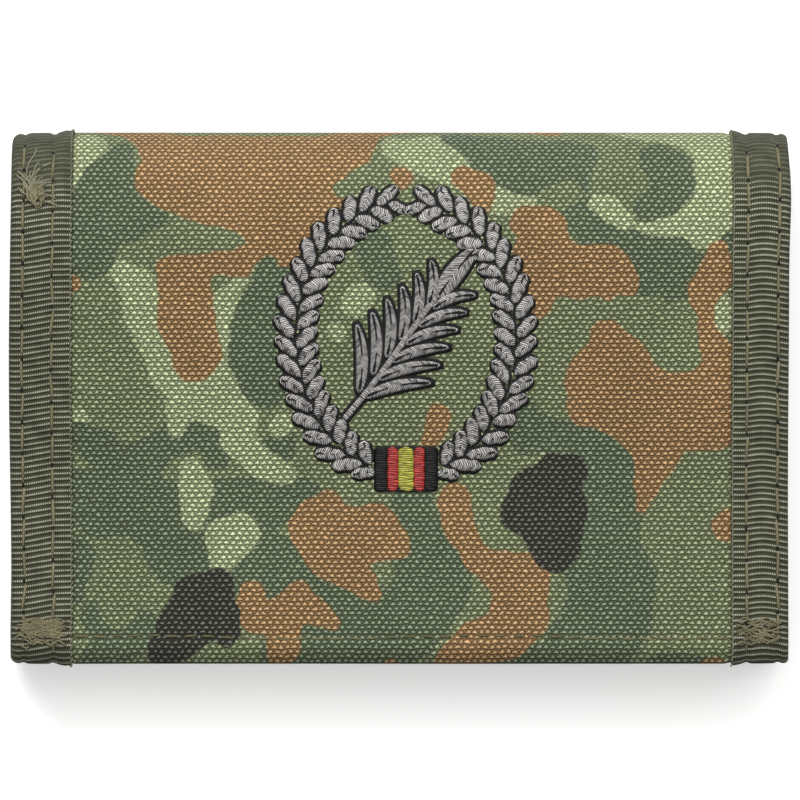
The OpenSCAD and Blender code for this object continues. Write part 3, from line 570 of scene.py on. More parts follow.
# The print's blotches, drawn as strokes with a round brush: x, y on the flap and the brush's radius, in mm
blotches = {
    "pale": [
        [(-51.9, 42.2, 3), (-54, 38, 2), (-54, 33, 1.3)], [(-54.6, 25.7, 1.4)],
        [(-47.6, 22.3, 1.6), (-44, 19, 2.7), (-42, 14, 3.4), (-40.5, 9, 3), (-38.5, 4.5, 3), (-35, 1.5, 3.2), (-30, 1, 3)],
        [(-26.5, 19, 1.6), (-28.7, 15, 3.2), (-29.5, 10, 2.6), (-28.6, 5, 2.6), (-29, 1, 3)],
        [(-7, 16.5, 2.8)], [(-10.3, 11.4, 1.6)], [(-54, -3.5, 1.9)],
        [(0, 41.5, 3.2), (5, 41, 4.2), (9, 38.8, 3.6), (10.6, 37, 2.4)],
        [(38, 45, 4), (48, 44, 5), (55, 42, 6), (55, 34, 5.6), (50, 30, 4.6), (44, 28, 3.4), (41, 27.6, 2.4)],
        [(16.2, 33.6, 2.6), (19.8, 33, 2.6), (22.4, 34, 1.5)], [(53, 16, 1.6), (54.8, 14, 2.2), (53.4, 11.5, 1.2)],
    ],
    "dark": [
        [(-46.6, 41.4, 1.8), (-48.2, 37, 4.2), (-48.8, 32.8, 5.3), (-45, 29.9, 3.8), (-40.5, 29.9, 1.7)],
        [(-51.5, 30, 4.8), (-52, 25, 4.8), (-53.5, 23, 3.5)], [(-21.2, 26, 1), (-21, 21.5, 2.6), (-22.5, 16, 4), (-24, 11, 3.8), (-24.6, 7, 4), (-22, 3, 4.4)],
        [(-4, 25, 3.2), (-3, 21, 3.2)], [(-2, 13, 2)],
        [(9.5, 42.8, 2.4), (16, 40.8, 4.6), (22, 38.6, 5.2), (28, 40, 4.4), (32, 38, 3.6), (33.6, 36.6, 2.6)], [(35, 44.8, 1.4), (38, 44.8, 1.4)],
        [(42.6, 40.2, 3.0), (45.2, 38.2, 3.2), (46.2, 35.8, 3.1), (44.4, 33.4, 2.9), (41.2, 32, 2.4)],
        [(27, 33, 2.6), (31, 30, 3.2), (35, 26.6, 3.4), (41, 23.6, 3.6), (45.6, 21.8, 4.8), (44, 18, 4.4), (42, 15.6, 3.4)], [(50.7, 22.3, 1.8)], [(55, 26.3, 1.8)],
        [(-54, -6, 2), (-50, -8, 3), (-46, -11, 3), (-41, -9.5, 2.8), (-38, -6.6, 2.6), (-34, -5, 3), (-30.6, -6.5, 2.6), (-30, -10, 2.2)],
        [(-54, -16, 4), (-50, -17.5, 5.4), (-44, -18, 5.6), (-38, -20, 5.8), (-31, -20, 6), (-24, -18, 5), (-16, -16.5, 3)], [(-54, -26, 3), (-54.5, -33, 2)],
        [(-38, -26, 5), (-30, -28, 5), (-22, -28, 5.5), (-15, -31, 5), (-8, -35, 6), (-3, -38, 5)], [(-50, -37, 3.4), (-44, -39, 3.6), (-50, -43, 3)],
        [(-18, -42, 5), (-8, -43, 5.5), (-1, -44, 4)], [(-20, -8, 3)],
        [(17, -3, 2), (21, -5, 3), (27, -6.5, 3), (31, -8.6, 4), (34.6, -12, 4.8), (36, -18, 4.8), (33.4, -25, 6.6), (36, -31, 6.8), (34.5, -37, 7), (30, -41, 6)],
        [(31, -18, 4), (31, -27, 4)], [(2, -18, 3.6), (3, -24, 5.4), (6, -31, 6), (2, -37, 6)], [(17, -43.6, 3), (26, -43.8, 3.4), (36, -44, 3)],
        [(21, -2, 2), (21.5, -8, 1.8)], [(52, -44.6, 2), (44, -44.6, 2.6)],
    ],
    "lobe": [[(36.5, 40.8, 3.4), (36, 36, 3.7), (35.6, 33, 3)], [(28, 34.5, 2.4), (25, 33, 2)], [(-46.8, -25.5, 3), (-46, -30.5, 4), (-47, -35, 3.2)]],
    "light": [
        [(32.9, 32.2, 1.5), (35, 31.4, 2), (37.2, 29.8, 1.7)],
        [(-35, 0, 3), (-31, -0.5, 3.6), (-27.4, -3, 3.4), (-27, -7, 2.6), (-23, -10.5, 2.4), (-19, -12.6, 1.9)], [(-37, -2, 2.2), (-37.6, -5, 1.4)],
        [(-34.6, -11.5, 2), (-34.2, -15, 2.7), (-34, -19, 2), (-33.8, -21, 1)], [(-30, -22.8, 2.3), (-26, -22, 2.7), (-29.3, -25.6, 2.7), (-30, -28, 1.8)], [(-20, -4.5, 2)],
    ],
    "brown": [
        [(-53, 45.4, 1.6), (-44, 44, 2.4), (-38, 41, 5.4), (-30, 39, 7.4), (-20, 38, 8.4), (-12, 39.4, 6.4), (-5, 44, 3), (4, 46, 2)],
        [(-54, 47.2, 3.5), (-40, 47, 4), (-8, 46.6, 4), (6, 47.6, 3.5)], [(-38, 37, 6), (-30, 35, 6.3), (-22, 33, 6.6), (-16, 33, 5.2), (-11, 36, 4.4)],
        [(-26, 32.8, 4.6), (-20, 28.8, 4.4), (-17, 24.5, 2.6), (-19.2, 22.8, 0.9)],
        [(-38.4, 21.6, 2), (-33, 22.8, 2.2), (-27, 22.4, 2.1), (-23.8, 24.8, 1.3), (-22.6, 26, 0.9)],
        [(-36.2, 19, 4.4), (-35.2, 12.5, 4.6), (-34, 7.2, 4.2)], [(-54.8, 19, 1.5)], [(0.5, 37, 2)], [(10.8, 36.8, 2.1), (13.5, 35.4, 2.6), (13.8, 32.8, 1.6)],
        [(22.5, 44.6, 1.9), (25.5, 44.2, 2.1)],
        [(20.5, 29.5, 2.4), (23.8, 28.2, 3.8), (24.2, 23, 5), (30, 21.2, 4.2), (35, 21, 4.2), (36, 19.6, 3.6)], [(22.4, 20, 3.6), (22.8, 16, 2.6), (21.6, 14.4, 1.8)],
        [(53.4, 25, 1.7), (53, 21, 2.8), (50.5, 18.2, 2.4), (50.4, 14, 2), (51.6, 9.8, 2.2), (54, 5.6, 3.4)],
        [(35, 9.8, 3.2), (37, 6.5, 4.2), (33.4, 3.8, 5.4), (38, 2, 5.4), (44, -1, 4.8), (50, -1, 5), (54, 3, 4.6)],
        [(31, -1.5, 3.2), (36, -1.5, 4.6), (42, -4.5, 5), (43.4, -9, 3.7), (41.2, -14, 2.1), (40.4, -18, 0.9)], [(48, -3.6, 5.2), (53.5, -3.2, 5)],
        [(-24.3, -32.2, 2.1), (-24.6, -36, 2.6), (-20, -36.5, 2.6), (-16.6, -32.8, 2.2)], [(-20, -36, 2.6), (-14, -35.4, 2.2), (-11.6, -37, 1.5)],
        [(-19.6, -39, 2.6), (-19.2, -41.8, 2.8)],
        [(-12, -17, 2), (-12.6, -21.6, 5.4), (-11, -24, 5.9), (-4, -22.6, 4.6), (-1.4, -23.6, 3.2)], [(-9, -28.4, 2.6), (-5.6, -31.2, 1.8), (-4, -33, 1.3)],
        [(6.3, -3, 2.1), (5.5, -6.5, 1.9)], [(55.2, -21, 2.8)],
        [(9, -17, 2.8), (10.4, -22, 2.5), (12.6, -26.4, 2.2), (17, -28.6, 3), (20.6, -30.6, 4.4), (20, -36, 4.6), (18, -39, 4.3), (13, -40.4, 3.4), (9.5, -43.6, 3.4)],
        [(52.8, -44, 2.2)], [(-1, -44.8, 1.4)],
    ],
    "over": [[(-9.2, 35.2, 1.6), (-5.4, 36, 3), (-1.5, 33.6, 2.4)], [(46.8, 13, 3.2), (46.4, 8, 3.4)], [(37, 15.4, 2), (42, 15, 2.4)], [(-34.5, 26.6, 2.4), (-27.8, 25.9, 1.5)]],
    "black": [
        [(-34.8, -31.6, 2.5), (-30.6, -31.8, 3), (-32.6, -35, 5), (-36.4, -38.5, 4.2), (-39, -42, 3)], [(-29.6, -36, 3), (-29, -39.4, 2.2)],
        [(26.0, -10.8, 2), (28.7, -11.8, 2.9)], [(21.5, -15.4, 3.4), (21.2, -18.6, 4.0), (25.6, -19.4, 5.6), (25.6, -24.2, 4.4), (25.4, -26, 2.6)], [(25.6, -14, 3.8)],
    ],
}


# Distance from points to the edge of a layer of strokes, negative inside: to each stroke's line, less its radius there, all
# joined smoothly as minus the logarithm of a sum of exponentials
def strokeDistance(strokes, x, path, soft=0.45):
    total = np.zeros(x.shape)
    for stroke in strokes:
        ends = stroke if len(stroke) > 1 else stroke * 2
        for (x0, p0, r0), (x1, p1, r1) in zip(ends, ends[1:]):
            dx, dp = x1 - x0, p1 - p0
            share = np.clip(((x - x0) * dx + (path - p0) * dp) / max(dx * dx + dp * dp, 1e-9), 0, 1)
            away = np.hypot(x - x0 - share * dx, path - p0 - share * dp) - (r0 + share * (r1 - r0))
            total += np.exp(-np.clip(away, -12, 25) / soft)
    return -soft * np.log(total + 1e-30)


# The strokes of the unseen part of the cloth wander at random from seeded starts
def wanderingStrokes(number, start, end, size):
    made = []
    for _ in range(number):
        x, path, heading = chance.uniform(-58, 58), chance.uniform(start, end), chance.uniform(0, 6.28)
        stroke = []
        for _ in range(chance.integers(2, 6)):
            stroke.append((x, path, chance.uniform(0.5, 1.0) * size))
            x, path, heading = x + math.cos(heading) * size * 1.2, path + math.sin(heading) * size * 1.2, heading + chance.normal(0, 0.9)
        made.append(stroke)
    return made


# Strokes higher than the flap's top run on over the fold
printed = {layer: [[(x, float(flapPath(min(y, 43.6))) + 2 * max(0, y - 43.6), r) for x, y, r in stroke] for stroke in strokes]
           for layer, strokes in blotches.items()}
for layer, number, size in (("pale", 34, 4.0), ("dark", 46, 4.6), ("lobe", 16, 4.2), ("brown", 30, 5.2), ("light", 8, 2.6), ("black", 10, 4.2)):
    printed[layer] += wanderingStrokes(number, topMiddle + 8, leafEnd, size)


def printedValues(x, path):
    warpX = x + 0.3 * np.sin(path * 0.55 + 1.1) + 0.1 * np.sin(path * 1.9)
    warpPath = path + 0.3 * np.sin(x * 0.5 + 0.4) + 0.1 * np.sin(x * 1.7)
    return {layer: strokeDistance(strokes, warpX, warpPath) for layer, strokes in printed.items()}


# The solids that each part of the strip stands for
nodesOf = {"flap": "flap", "upper": "top_fold", "lower": "back", "leaf": "leaf"}
also = {"flap": [], "upper": [], "lower": [], "leaf": ["bottom_fold"]}
tapeShape = {"groove": 0.3, "puff": 0.14, "widthLeft": 10.2, "widthRight": 9.4, "leftSeams": (62.8, 57.9), "rightSeams": (63.2, 58.0),
             "pressFrom": float(flapPath(33.5))}


# The ribbon dips along its two seams and swells a little between them, on its outer face
def tapeRelief(side):
    seamLines = tapeShape["leftSeams" if side < 0 else "rightSeams"]

    def change(x, path, depth):
        away = np.abs(x)
        dip = sum(np.exp(-((away - seam) / 0.45) ** 2) for seam in seamLines) * tapeShape["groove"]
        swell = tapeShape["puff"] * np.sin(np.clip((away - 55) / 9, 0, 1) * math.pi)
        wobble = 0.05 * np.sin(path * 1.7 + 2 * np.sin(path * 0.23) + side)
        return np.where(depth < 0.1, dip - swell + wobble * (away < 63.5), 0)
    return change


# Where the ribbon's rows run off level, in mm along the strip: they climb between the left seams and arch between the right
# ones. pressed is 1 over the top fold
def ribbonValues(x, path):
    outer, inner = tapeShape["leftSeams"]
    climb = 0.14 * (np.clip(x, -outer, -inner) + outer) + 0.03 * (x + inner)
    outer, inner = tapeShape["rightSeams"]
    arch = 0.32 * np.sin(np.clip((x - inner) / (outer - inner), 0, 1) * math.pi) - 0.16 * np.clip(x - outer, 0, 3)
    pressed = np.clip((path - tapeShape["pressFrom"]) / 4, 0, 1) * np.clip((topMiddle + 9 - path) / 4, 0, 1)
    return {"rowShift": np.where(x < 0, climb, arch), "pressed": pressed}


for partName, (_, _, start, end, _, _) in parts.items():
    steps = pathSteps(start, end)
    fine = pathSteps(start, end, 0.55)
    ends = {"roundStart": 0.5 if partName == "flap" else 0.0, "roundEnd": 0.4 if partName == "leaf" else 0.0}
    hidden = [nodesOf[partName]] + also[partName]
    cloth = carry(partName + "Canvas", sheetLoop(-strip["clothHalf"], strip["clothHalf"], 0, strip["shell"]), fine, printedCanvas,
                  values=printedValues, **ends)
    settleBent(cloth, partName, "camouflage_cloth", *[n + "_shell" for n in hidden])
    loop = sheetLoop(-strip["clothHalf"] + 0.3, strip["dividerRight"], strip["dividerOut"], strip["dividerIn"], 2.0, 2.0)
    divider = carry(partName + "Divider", loop, steps, lining)
    settleBent(divider, partName, "lining_cloth", *[n + "_divider" for n in hidden])
    for side, word, depth in ((-1, "Left", strip["dividerIn"]), (1, "Right", strip["shell"])):
        loop = tapeLoop(side, strip["halfWidth"], tapeShape["width" + word], -0.3, depth + 0.3, strip["tape"] * 0.95)
        tape = carry(partName + "Tape" + word, loop, pathSteps(start, end, 0.5), ribbon,
                     values=ribbonValues, change=tapeRelief(side), **ends)
        settleBent(tape, partName, "binding_tape", *[n + "_tape_" + word.lower() for n in hidden])
    loop = tapeLoop(1, strip["dividerRight"] + 0.5, 8.5, strip["dividerOut"] - 0.2, strip["dividerIn"] + 0.2, 0.4)
    edging = carry(partName + "DividerTape", loop, steps, ribbon, values=ribbonValues, **ends)
    settleBent(edging, partName, "binding_tape", *[n + "_divider_tape" for n in hidden])
print("cloth, lining and tapes made")


seams = {"pitch": 5.3, "length": 4.9, "radius": 0.25, "hole": 0.95, "selvedgePitch": 0.95}
for partName, (_, _, start, end, _, _) in parts.items():
    first = start + (2.2 if partName == "flap" else 1.0)
    rows = np.arange(first + seams["length"] / 2, end - seams["length"] / 2, seams["pitch"])
    for word, depths, columns in (("Left", (-0.62, strip["dividerIn"] + strip["tape"]), tapeShape["leftSeams"]),
                                  ("Right", (-0.62, strip["shell"] + strip["tape"]), tapeShape["rightSeams"])):
        side = -1 if word == "Left" else 1
        grids = [(c * side, r + (1.9 if c > 60 else 0)) for c in columns for r in rows[:-1]]
        x, path = np.array(grids).T
        outside = stitches(partName + "Seam" + word, x, path, depths[0] + 0.2, oliveThread, seams["length"], seams["radius"])
        settleBent(outside, partName, "sewing_thread")
        holes = stitches(partName + "Holes" + word, x, path + seams["pitch"] / 2, depths[0] + 0.28, holeShade, seams["hole"], 0.27, rise=0.0)
        settleBent(holes, partName, "sewing_thread")
        inside = stitches(partName + "SeamInside" + word, x, path, depths[1] + 0.02, oliveThread, seams["length"], seams["radius"], rise=-0.12)
        settleBent(inside, partName, "sewing_thread")
        if partName == "flap" and side < 0:
            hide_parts("flap_seam_threads")
        if partName == "lower" and side < 0:
            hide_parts("back_seam_threads")

# along the inner edge of each tape the filling turns back in small loops
for partName, (_, _, start, end, _, _) in parts.items():
    rows = np.arange(start + 0.6, end - 0.5, seams["selvedgePitch"])
    edges = ((-1, strip["halfWidth"] - tapeShape["widthLeft"]), (1, strip["halfWidth"] - tapeShape["widthRight"]))
    x, path = np.array([(side * edge, row) for side, edge in edges for row in rows]).T
    turns = stitches(partName + "Selvedge", x, path, -0.56, selvedge, 1.0, 0.15, rise=0.06, tilt=0.4)
    settleBent(turns, partName, "binding_tape")

hemX = np.arange(-53.2, 54.0, 3.05)
hem = stitches("flapHemSeam", hemX, flapPath(-39.8) + 0.25 * np.sin(hemX * 0.11), 0.0, hemThread, 2.5, 0.2, across=True)
settle(hem, "flap", "sewing_thread", "flap_hem_thread")
leafHem = stitches("leafHemSeam", hemX, leafPath(strip["leafTipY"] - 4), 0.0, hemThread, 2.4, 0.2, across=True)
settle(leafHem, "leaf", "sewing_thread", "leaf_hem_thread")
print("seams made")


# Several shapes of satin stitch at once. Each follows a line of points (x, y): its section is a half circle to a power over
# a flat underside, as wide as halfWidth and as high as rise at each point. Threads lie across the line, slanted by slant
def sewn(name, spine, halfWidth, rise, material, base=0.0, slant=0.0, pathOf=flapPath, sides=9, outward=-1):
    spine, halfWidth, rise = np.asarray(spine, float), np.asarray(halfWidth, float), np.asarray(rise, float)
    number, rows = spine.shape[:2]
    halfWidth, rise = (np.broadcast_to(v, (number, rows)) for v in (halfWidth, rise))
    way = np.gradient(spine, axis=1)
    way /= np.maximum(np.linalg.norm(way, axis=-1, keepdims=True), 1e-6)
    side = np.stack([-way[..., 1], way[..., 0]], -1)
    angle = np.radians(np.linspace(0, 180, sides))
    across, up = np.append(np.cos(angle), 0.0), np.append(np.sin(angle) ** 0.7, 0.0)
    offset = halfWidth[:, :, None] * across
    point = spine[:, :, None] + side[:, :, None] * offset[..., None]
    height = base + rise[:, :, None] * up
    run = np.concatenate([np.zeros((number, 1)), np.cumsum(np.linalg.norm(np.diff(spine, axis=1), axis=-1), axis=1)], 1)
    shift = np.arange(number)[:, None, None] * 0.137
    clothMap = np.stack([run[:, :, None] + slant * np.abs(offset) + shift, offset + shift], -1)
    return tubes(name, place(point[..., 0], pathOf(point[..., 1]), outward * height), clothMap, material)


# Several threads or wires at once, round in section. Each follows a line of points (x, path, depth) in mm
def wires(name, line, radius, material, sides=6):
    line = np.asarray(line, float)
    number, rows = line.shape[:2]
    radius = np.broadcast_to(np.asarray(radius, float), (number, rows))[..., None, None]
    way = np.gradient(line, axis=1)
    way /= np.maximum(np.linalg.norm(way, axis=-1, keepdims=True), 1e-6)
    helper = np.where(np.abs(way[..., :1]) < 0.75, np.array([1.0, 0, 0]), np.array([0, 1.0, 0]))
    first = np.cross(way, helper)
    first /= np.linalg.norm(first, axis=-1, keepdims=True)
    second = np.cross(way, first)
    angle = np.radians(np.arange(sides) * 360 / sides)[:, None]
    ring = line[:, :, None] + radius * (np.cos(angle) * first[:, :, None] + np.sin(angle) * second[:, :, None])
    run = np.concatenate([np.zeros((number, 1)), np.cumsum(np.linalg.norm(np.diff(line, axis=1), axis=-1), axis=1)], 1)
    clothMap = np.stack(np.broadcast_arrays(run[:, :, None], np.arange(sides) * 0.2), -1)
    return tubes(name, place(*np.moveaxis(ring, -1, 0)), clothMap, material)


# The badge, a generic one: two plaits bent into an oval, a sprig of leaves, and a striped ribbon bar
badge = {"x": 1.1, "y": 10.1, "width": 43.0, "height": 51.8, "band": 6.4, "outline": 0.5,
         "strandPitch": 2.95, "strandLean": 3.2, "strandHalf": 0.92, "strandRise": 0.42,
         "barWidth": 10.9, "barHeight": 8.1, "sprigAngle": 52.0, "leafPairs": 6, "leafStep": 3.75, "leafLength": 12.4, "leafWidth": 1.85}


# Points on the oval at a distance along it from the top, and the outward direction there. side is -1 for the left half
def ovalAt(distance, side):
    a, b = (badge["width"] - badge["band"]) / 2, (badge["height"] - badge["band"]) / 2
    turn = np.linspace(0, math.pi, 400)
    x, y = a * np.sin(turn), b * np.cos(turn)
    along = np.concatenate([[0], np.cumsum(np.hypot(np.diff(x), np.diff(y)))])
    t = np.interp(distance, along, turn)
    point = np.stack([side * a * np.sin(t), b * np.cos(t)], -1)
    out = np.stack([side * np.sin(t) / a, np.cos(t) / b], -1)
    return point, out / np.linalg.norm(out, axis=-1, keepdims=True), along[-1]


middle = np.array([badge["x"], badge["y"]])
ovalHalf = float(ovalAt(0.0, 1)[2])
ropeEnd = ovalHalf - badge["barWidth"] / 2 - 0.9
strandU = np.linspace(-1, 1, 11)
strands, veins, widths = [], [], []
for side in (-1, 1):
    count = int((ropeEnd - 2.6) / badge["strandPitch"])
    for k in range(count + 1):
        for row in (-1, 1):
            at = 1.2 + (k + 0.25 * (row + 1)) * (ropeEnd - 1.6) / (count + 0.5)
            taper = 1 - 0.45 * math.exp(-((at - 0.6) / 3.0) ** 2) - 0.25 * math.exp(-((ropeEnd - at) / 2.0) ** 2)
            lean = badge["strandLean"] * (1 + 0.1 * chance.normal())
            point, out, _ = ovalAt(np.clip(at - lean * 0.5 * strandU + 0.4 * strandU ** 2, 0.3, ropeEnd + 0.6), side)
            reach = badge["band"] / 2 * taper * (0.6 + 0.52 * strandU + 0.04 * chance.normal())
            line = middle + point + row * out * reach[:, None]
            strands.append(line)
            widths.append(badge["strandHalf"] * (0.55 + 0.45 * taper) * (1 - 0.35 * strandU ** 2) * (1 - np.abs(strandU) ** 7) + 0.1
                          + 0.09 * np.sin(strandU * 8 + 2 * k + row))
            if (k + row) % 3:
                veins.append(line[3:10] + 0.14 * np.sin(np.arange(7) * 2.2 + k)[:, None])
strands, widths = np.array(strands), np.array(widths)
rise = badge["strandRise"] * (1 - 0.45 * strandU ** 2)
settle(sewn("badgePlait", strands, widths, rise, greySatin, 0.06, 0.5), "flap", "grey_thread", "badge_ring")
settle(sewn("badgePlaitOutline", strands, widths + badge["outline"], np.full(11, 0.2), blackSatin, 0.0), "flap", "grey_thread")
settle(sewn("badgePlaitVeins", np.array(veins), 0.15 + 0.09 * np.abs(np.sin(np.arange(7) * 1.9)), 0.12, blackSatin, badge["strandRise"] - 0.07),
       "flap", "grey_thread")

turnSprig = math.radians(badge["sprigAngle"])
spin = np.array([[math.cos(turnSprig), math.sin(turnSprig)], [-math.sin(turnSprig), math.cos(turnSprig)]])


# One leaf: a line bowed sideways as a parabola, and a width that swells as a sine to a power
def leafLine(root, angle, length, bow):
    t = np.linspace(0, 1, 13)
    a = math.radians(angle)
    straight = np.stack([np.cos(a) * t, np.sin(a) * t], -1) * length
    return np.array(root) + straight + (bow * 4 * t * (1 - t))[:, None] * np.array([-math.sin(a), math.cos(a)])


leafT = np.linspace(0, 1, 13)
leaves, leafHalf = [leafLine((8.2, 0), 0, 11.4, 0.3)], [1.6]
for k in range(badge["leafPairs"]):
    for side in (-1, 1):
        leaves.append(leafLine((-12.4 + badge["leafStep"] * k, side * 0.45), side * (40 - k), badge["leafLength"] - 0.85 * k, -side * 0.9))
        leafHalf.append(badge["leafWidth"] / 2 - 0.03 * k)
leaves = np.array(leaves) @ spin + middle
leafShape = np.sin(math.pi * leafT ** 0.85) ** 0.6
halves = np.array(leafHalf)[:, None] * leafShape + 0.08
settle(sewn("badgeLeaves", leaves, halves, 0.40 * leafShape + 0.05, greySatin, 0.05, 0.8), "flap", "grey_thread", "badge_sprig")
settle(sewn("badgeLeafOutline", leaves, halves + badge["outline"], 0.2, blackSatin), "flap", "grey_thread")
settle(sewn("badgeLeafVeins", leaves[:, 1:12], 0.2 + 0.07 * np.sin(np.arange(11) * 2.4), 0.13, blackSatin, 0.36), "flap", "grey_thread")
stemX = np.linspace(-17, 8.5, 40)
stem = (np.stack([stemX, 0.35 * np.sin(stemX * 0.16)], -1) @ spin + middle)[None]
settle(sewn("badgeStem", stem, 0.5, 0.34, greySatin, 0.05, 0.3), "flap", "grey_thread")
settle(sewn("badgeStemOutline", stem, 0.5 + badge["outline"], 0.19, blackSatin), "flap", "grey_thread")

barY = np.linspace(-badge["height"] / 2 + 0.25, -badge["height"] / 2 + badge["barHeight"] - 0.25, 21)
plate = np.stack([np.zeros(21), barY], -1)[None] + middle
endsRound = 1 - np.abs(np.linspace(-1, 1, 21)) ** 14
settle(sewn("badgeBarEdge", plate, (badge["barWidth"] / 2 - 0.1) * np.clip(endsRound + 0.9, 0, 1), 0.2, blackSatin), "flap", "ribbon_thread", "badge_bar")
for word, material, columns, half in (("Dark", blackSatin, (-4.1, 4.1), 1.05), ("Red", redSatin, (-2.2, 2.2), 0.9), ("Yellow", yellowSatin, (0.0,), 1.3)):
    lines = np.array([np.stack([np.full(21, c) + 0.05 * np.sin(barY * 3 + c), barY], -1) for c in columns]) + middle
    settle(sewn("badgeBar" + word, lines, half * endsRound + 0.03, 0.3 * endsRound + 0.05, material, 0.12, 0.0), "flap", "ribbon_thread")
print("badge made")


# Inside of the flap: a hook strip, and a coin pouch with its zip. Depths are from the outer face of the canvas
inside = {"left": -54.0, "right": 45.5, "hookHalf": 45.0, "hookPitch": 1.55, "pouchBottom": -16.0, "pouchTop": 25.5,
          "headerBottom": 30.5, "headerTop": 36.5, "zipY": 28.0, "zipHalf": 43.0, "coilPitch": 1.15}


# The seams inside have smaller stitches, in mm. Their rise is negative, because they stand up on the inner side
insideStitch = {"from": -52.5, "to": 44.5, "pitch": 2.6, "length": 2.0, "radius": 0.16, "rise": -0.1}
insideRow = np.arange(insideStitch["from"], insideStitch["to"], insideStitch["pitch"])


def insideSeam(name, body, x, path, depth, across=False):
    seam = stitches(name, x, path, depth, oliveThread, insideStitch["length"], insideStitch["radius"], across, insideStitch["rise"])
    settle(seam, body, "sewing_thread")


# A panel of cloth sewn flat inside, between two sides and two ends
def panel(name, left, right, start, end, outer, inner, material, step=2.0, change=None):
    return carry(name, sheetLoop(left, right, outer, inner, step, step), pathSteps(start, end, 0.8), material, 0.25, 0.25, change=change)


def flapSpan(low, high):
    return float(flapPath(low)), float(flapPath(high))


hookStart, hookEnd = flapSpan(-38, -22)
hookTape = panel("hookTape", -inside["hookHalf"], inside["hookHalf"], hookStart, hookEnd, 1.8, 2.15, hookNylon)
settle(hookTape, "flap", "hook_tape", "hook_strip")
hx, hp = np.meshgrid(np.arange(-43.6, 44, inside["hookPitch"]), np.arange(hookStart + 1.4, hookEnd - 1.2, 1.05))
hx = (hx + 0.5 * inside["hookPitch"] * (np.arange(hx.shape[0])[:, None] % 2)).ravel()
hp = hp.ravel() + chance.normal(0, 0.05, hx.size)
hookTurn = np.radians([0, 0, 20, 75, 130, 185])
hookX = np.cumsum(np.append(0, np.sin(hookTurn[1:]) * 0.19))
hookUp = np.cumsum(np.append(0, np.cos(hookTurn[1:]) * 0.19)) + np.array([0, 0.08, 0.1, 0.1, 0.1, 0.1])
facing = np.where(np.arange(hx.size) % 2, 1, -1)[:, None]
hooks = np.stack(np.broadcast_arrays(hx[:, None] + facing * hookX, hp[:, None], 2.1 + hookUp), -1)
settle(wires("hooks", hooks, 0.085, hookNylon, 5), "flap", "hook_tape")

slack = {"pouch": 0.45, "slot": 0.12}


def pouchSlack(x, path, depth):
    start, end = flapSpan(inside["pouchBottom"], inside["pouchTop"])
    wide = np.clip((x - inside["left"]) / 6, 0, 1) * np.clip((inside["right"] - x) / 6, 0, 1)
    return slack["pouch"] * wide * np.sin(np.clip((path - start) / (end - start), 0, 1) * math.pi) * (1 + 0.3 * np.sin(x * 0.16) * np.sin(path * 0.2))


start, end = flapSpan(inside["pouchBottom"], inside["pouchTop"])
settle(panel("coinPouch", inside["left"], inside["right"], start, end, 2.15, 2.55, lining, 1.0, pouchSlack), "flap", "lining_cloth", "coin_pouch")
start, end = flapSpan(inside["headerBottom"], inside["headerTop"])
settle(panel("coinPouchHeader", inside["left"], inside["right"], start, end, 1.85, 2.6, lining), "flap", "lining_cloth", "coin_pouch_header")
zipPath = float(flapPath(inside["zipY"]))
for word, side in (("Lower", -1), ("Upper", 1)):
    ends = sorted((zipPath + side * 0.3, zipPath + side * 6.0))
    settle(panel("zipTape" + word, inside["left"], inside["right"], *ends, 2.6, 3.0, zipCloth), "flap", "zip_tape", "zip_tape_" + word.lower())
    turns = int(2 * inside["zipHalf"] / inside["coilPitch"])
    t = np.linspace(0, turns * 2 * math.pi, turns * 14)
    coil = np.stack([np.linspace(-inside["zipHalf"], inside["zipHalf"], t.size) + side * 0.1 * np.sin(2 * t),
                     zipPath + side * (0.72 + 0.42 * np.cos(t)), 3.5 + 0.3 * np.sin(t)], -1)
    settle(wires("zipCoil" + word, coil[None], 0.19, coilNylon, 6), "flap", "zip_coil", "zip_coil_" + word.lower())
    insideSeam("zipSeam" + word, "flap", insideRow, zipPath + side * 4.6, 3.0, across=True)
start, end = flapSpan(inside["pouchBottom"], inside["pouchTop"])
rowPath = np.arange(start + 2, end - 2, insideStitch["pitch"])
insideSeam("pouchSeamBottom", "flap", insideRow, start + 1.0, 2.56, across=True)
sideX = np.repeat([inside["left"] + 0.9, inside["right"] - 0.9], rowPath.size)
insideSeam("pouchSeamSides", "flap", sideX, np.tile(rowPath, 2), 2.58)


# Flat parts cut to an outline and softly bevelled: the outline, drawn in by the bevel, at the bottom and the top, and full
# between. Outlines are loops of (x, y) about the zip line, and ranges are their depths
def plates(name, outlines, ranges, material, bevel=0.12):
    points, faces, first = [], [], 0
    for outline, (deepest, nearest) in zip(outlines, ranges):
        outline = np.asarray(outline, float)
        way = np.roll(outline, -1, 0) - np.roll(outline, 1, 0)
        inward = np.stack([-way[:, 1], way[:, 0]], 1) / np.linalg.norm(way, axis=1)[:, None]
        levels = ((nearest, bevel), (nearest + bevel * 0.3, bevel * 0.3), (nearest + bevel, 0), (deepest - bevel, 0),
                  (deepest - bevel * 0.3, bevel * 0.3), (deepest, bevel))
        for depth, draw in levels:
            loop = outline + inward * draw
            points.append(place(loop[:, 0], zipPath + loop[:, 1], depth))
        count = len(outline)
        faces += (gridFaces(len(levels), count, closed=True) + first).tolist()
        faces += [[first + k for k in range(count)][::-1], [first + (len(levels) - 1) * count + k for k in range(count)]]
        first += len(levels) * count
    piece = makePiece(name, np.concatenate(points), faces)
    turnOutwards(piece)
    sharp = piece.modifiers.new("flats", "WEIGHTED_NORMAL")
    sharp.keep_sharp = False
    piece.data.materials.append(material)
    return piece


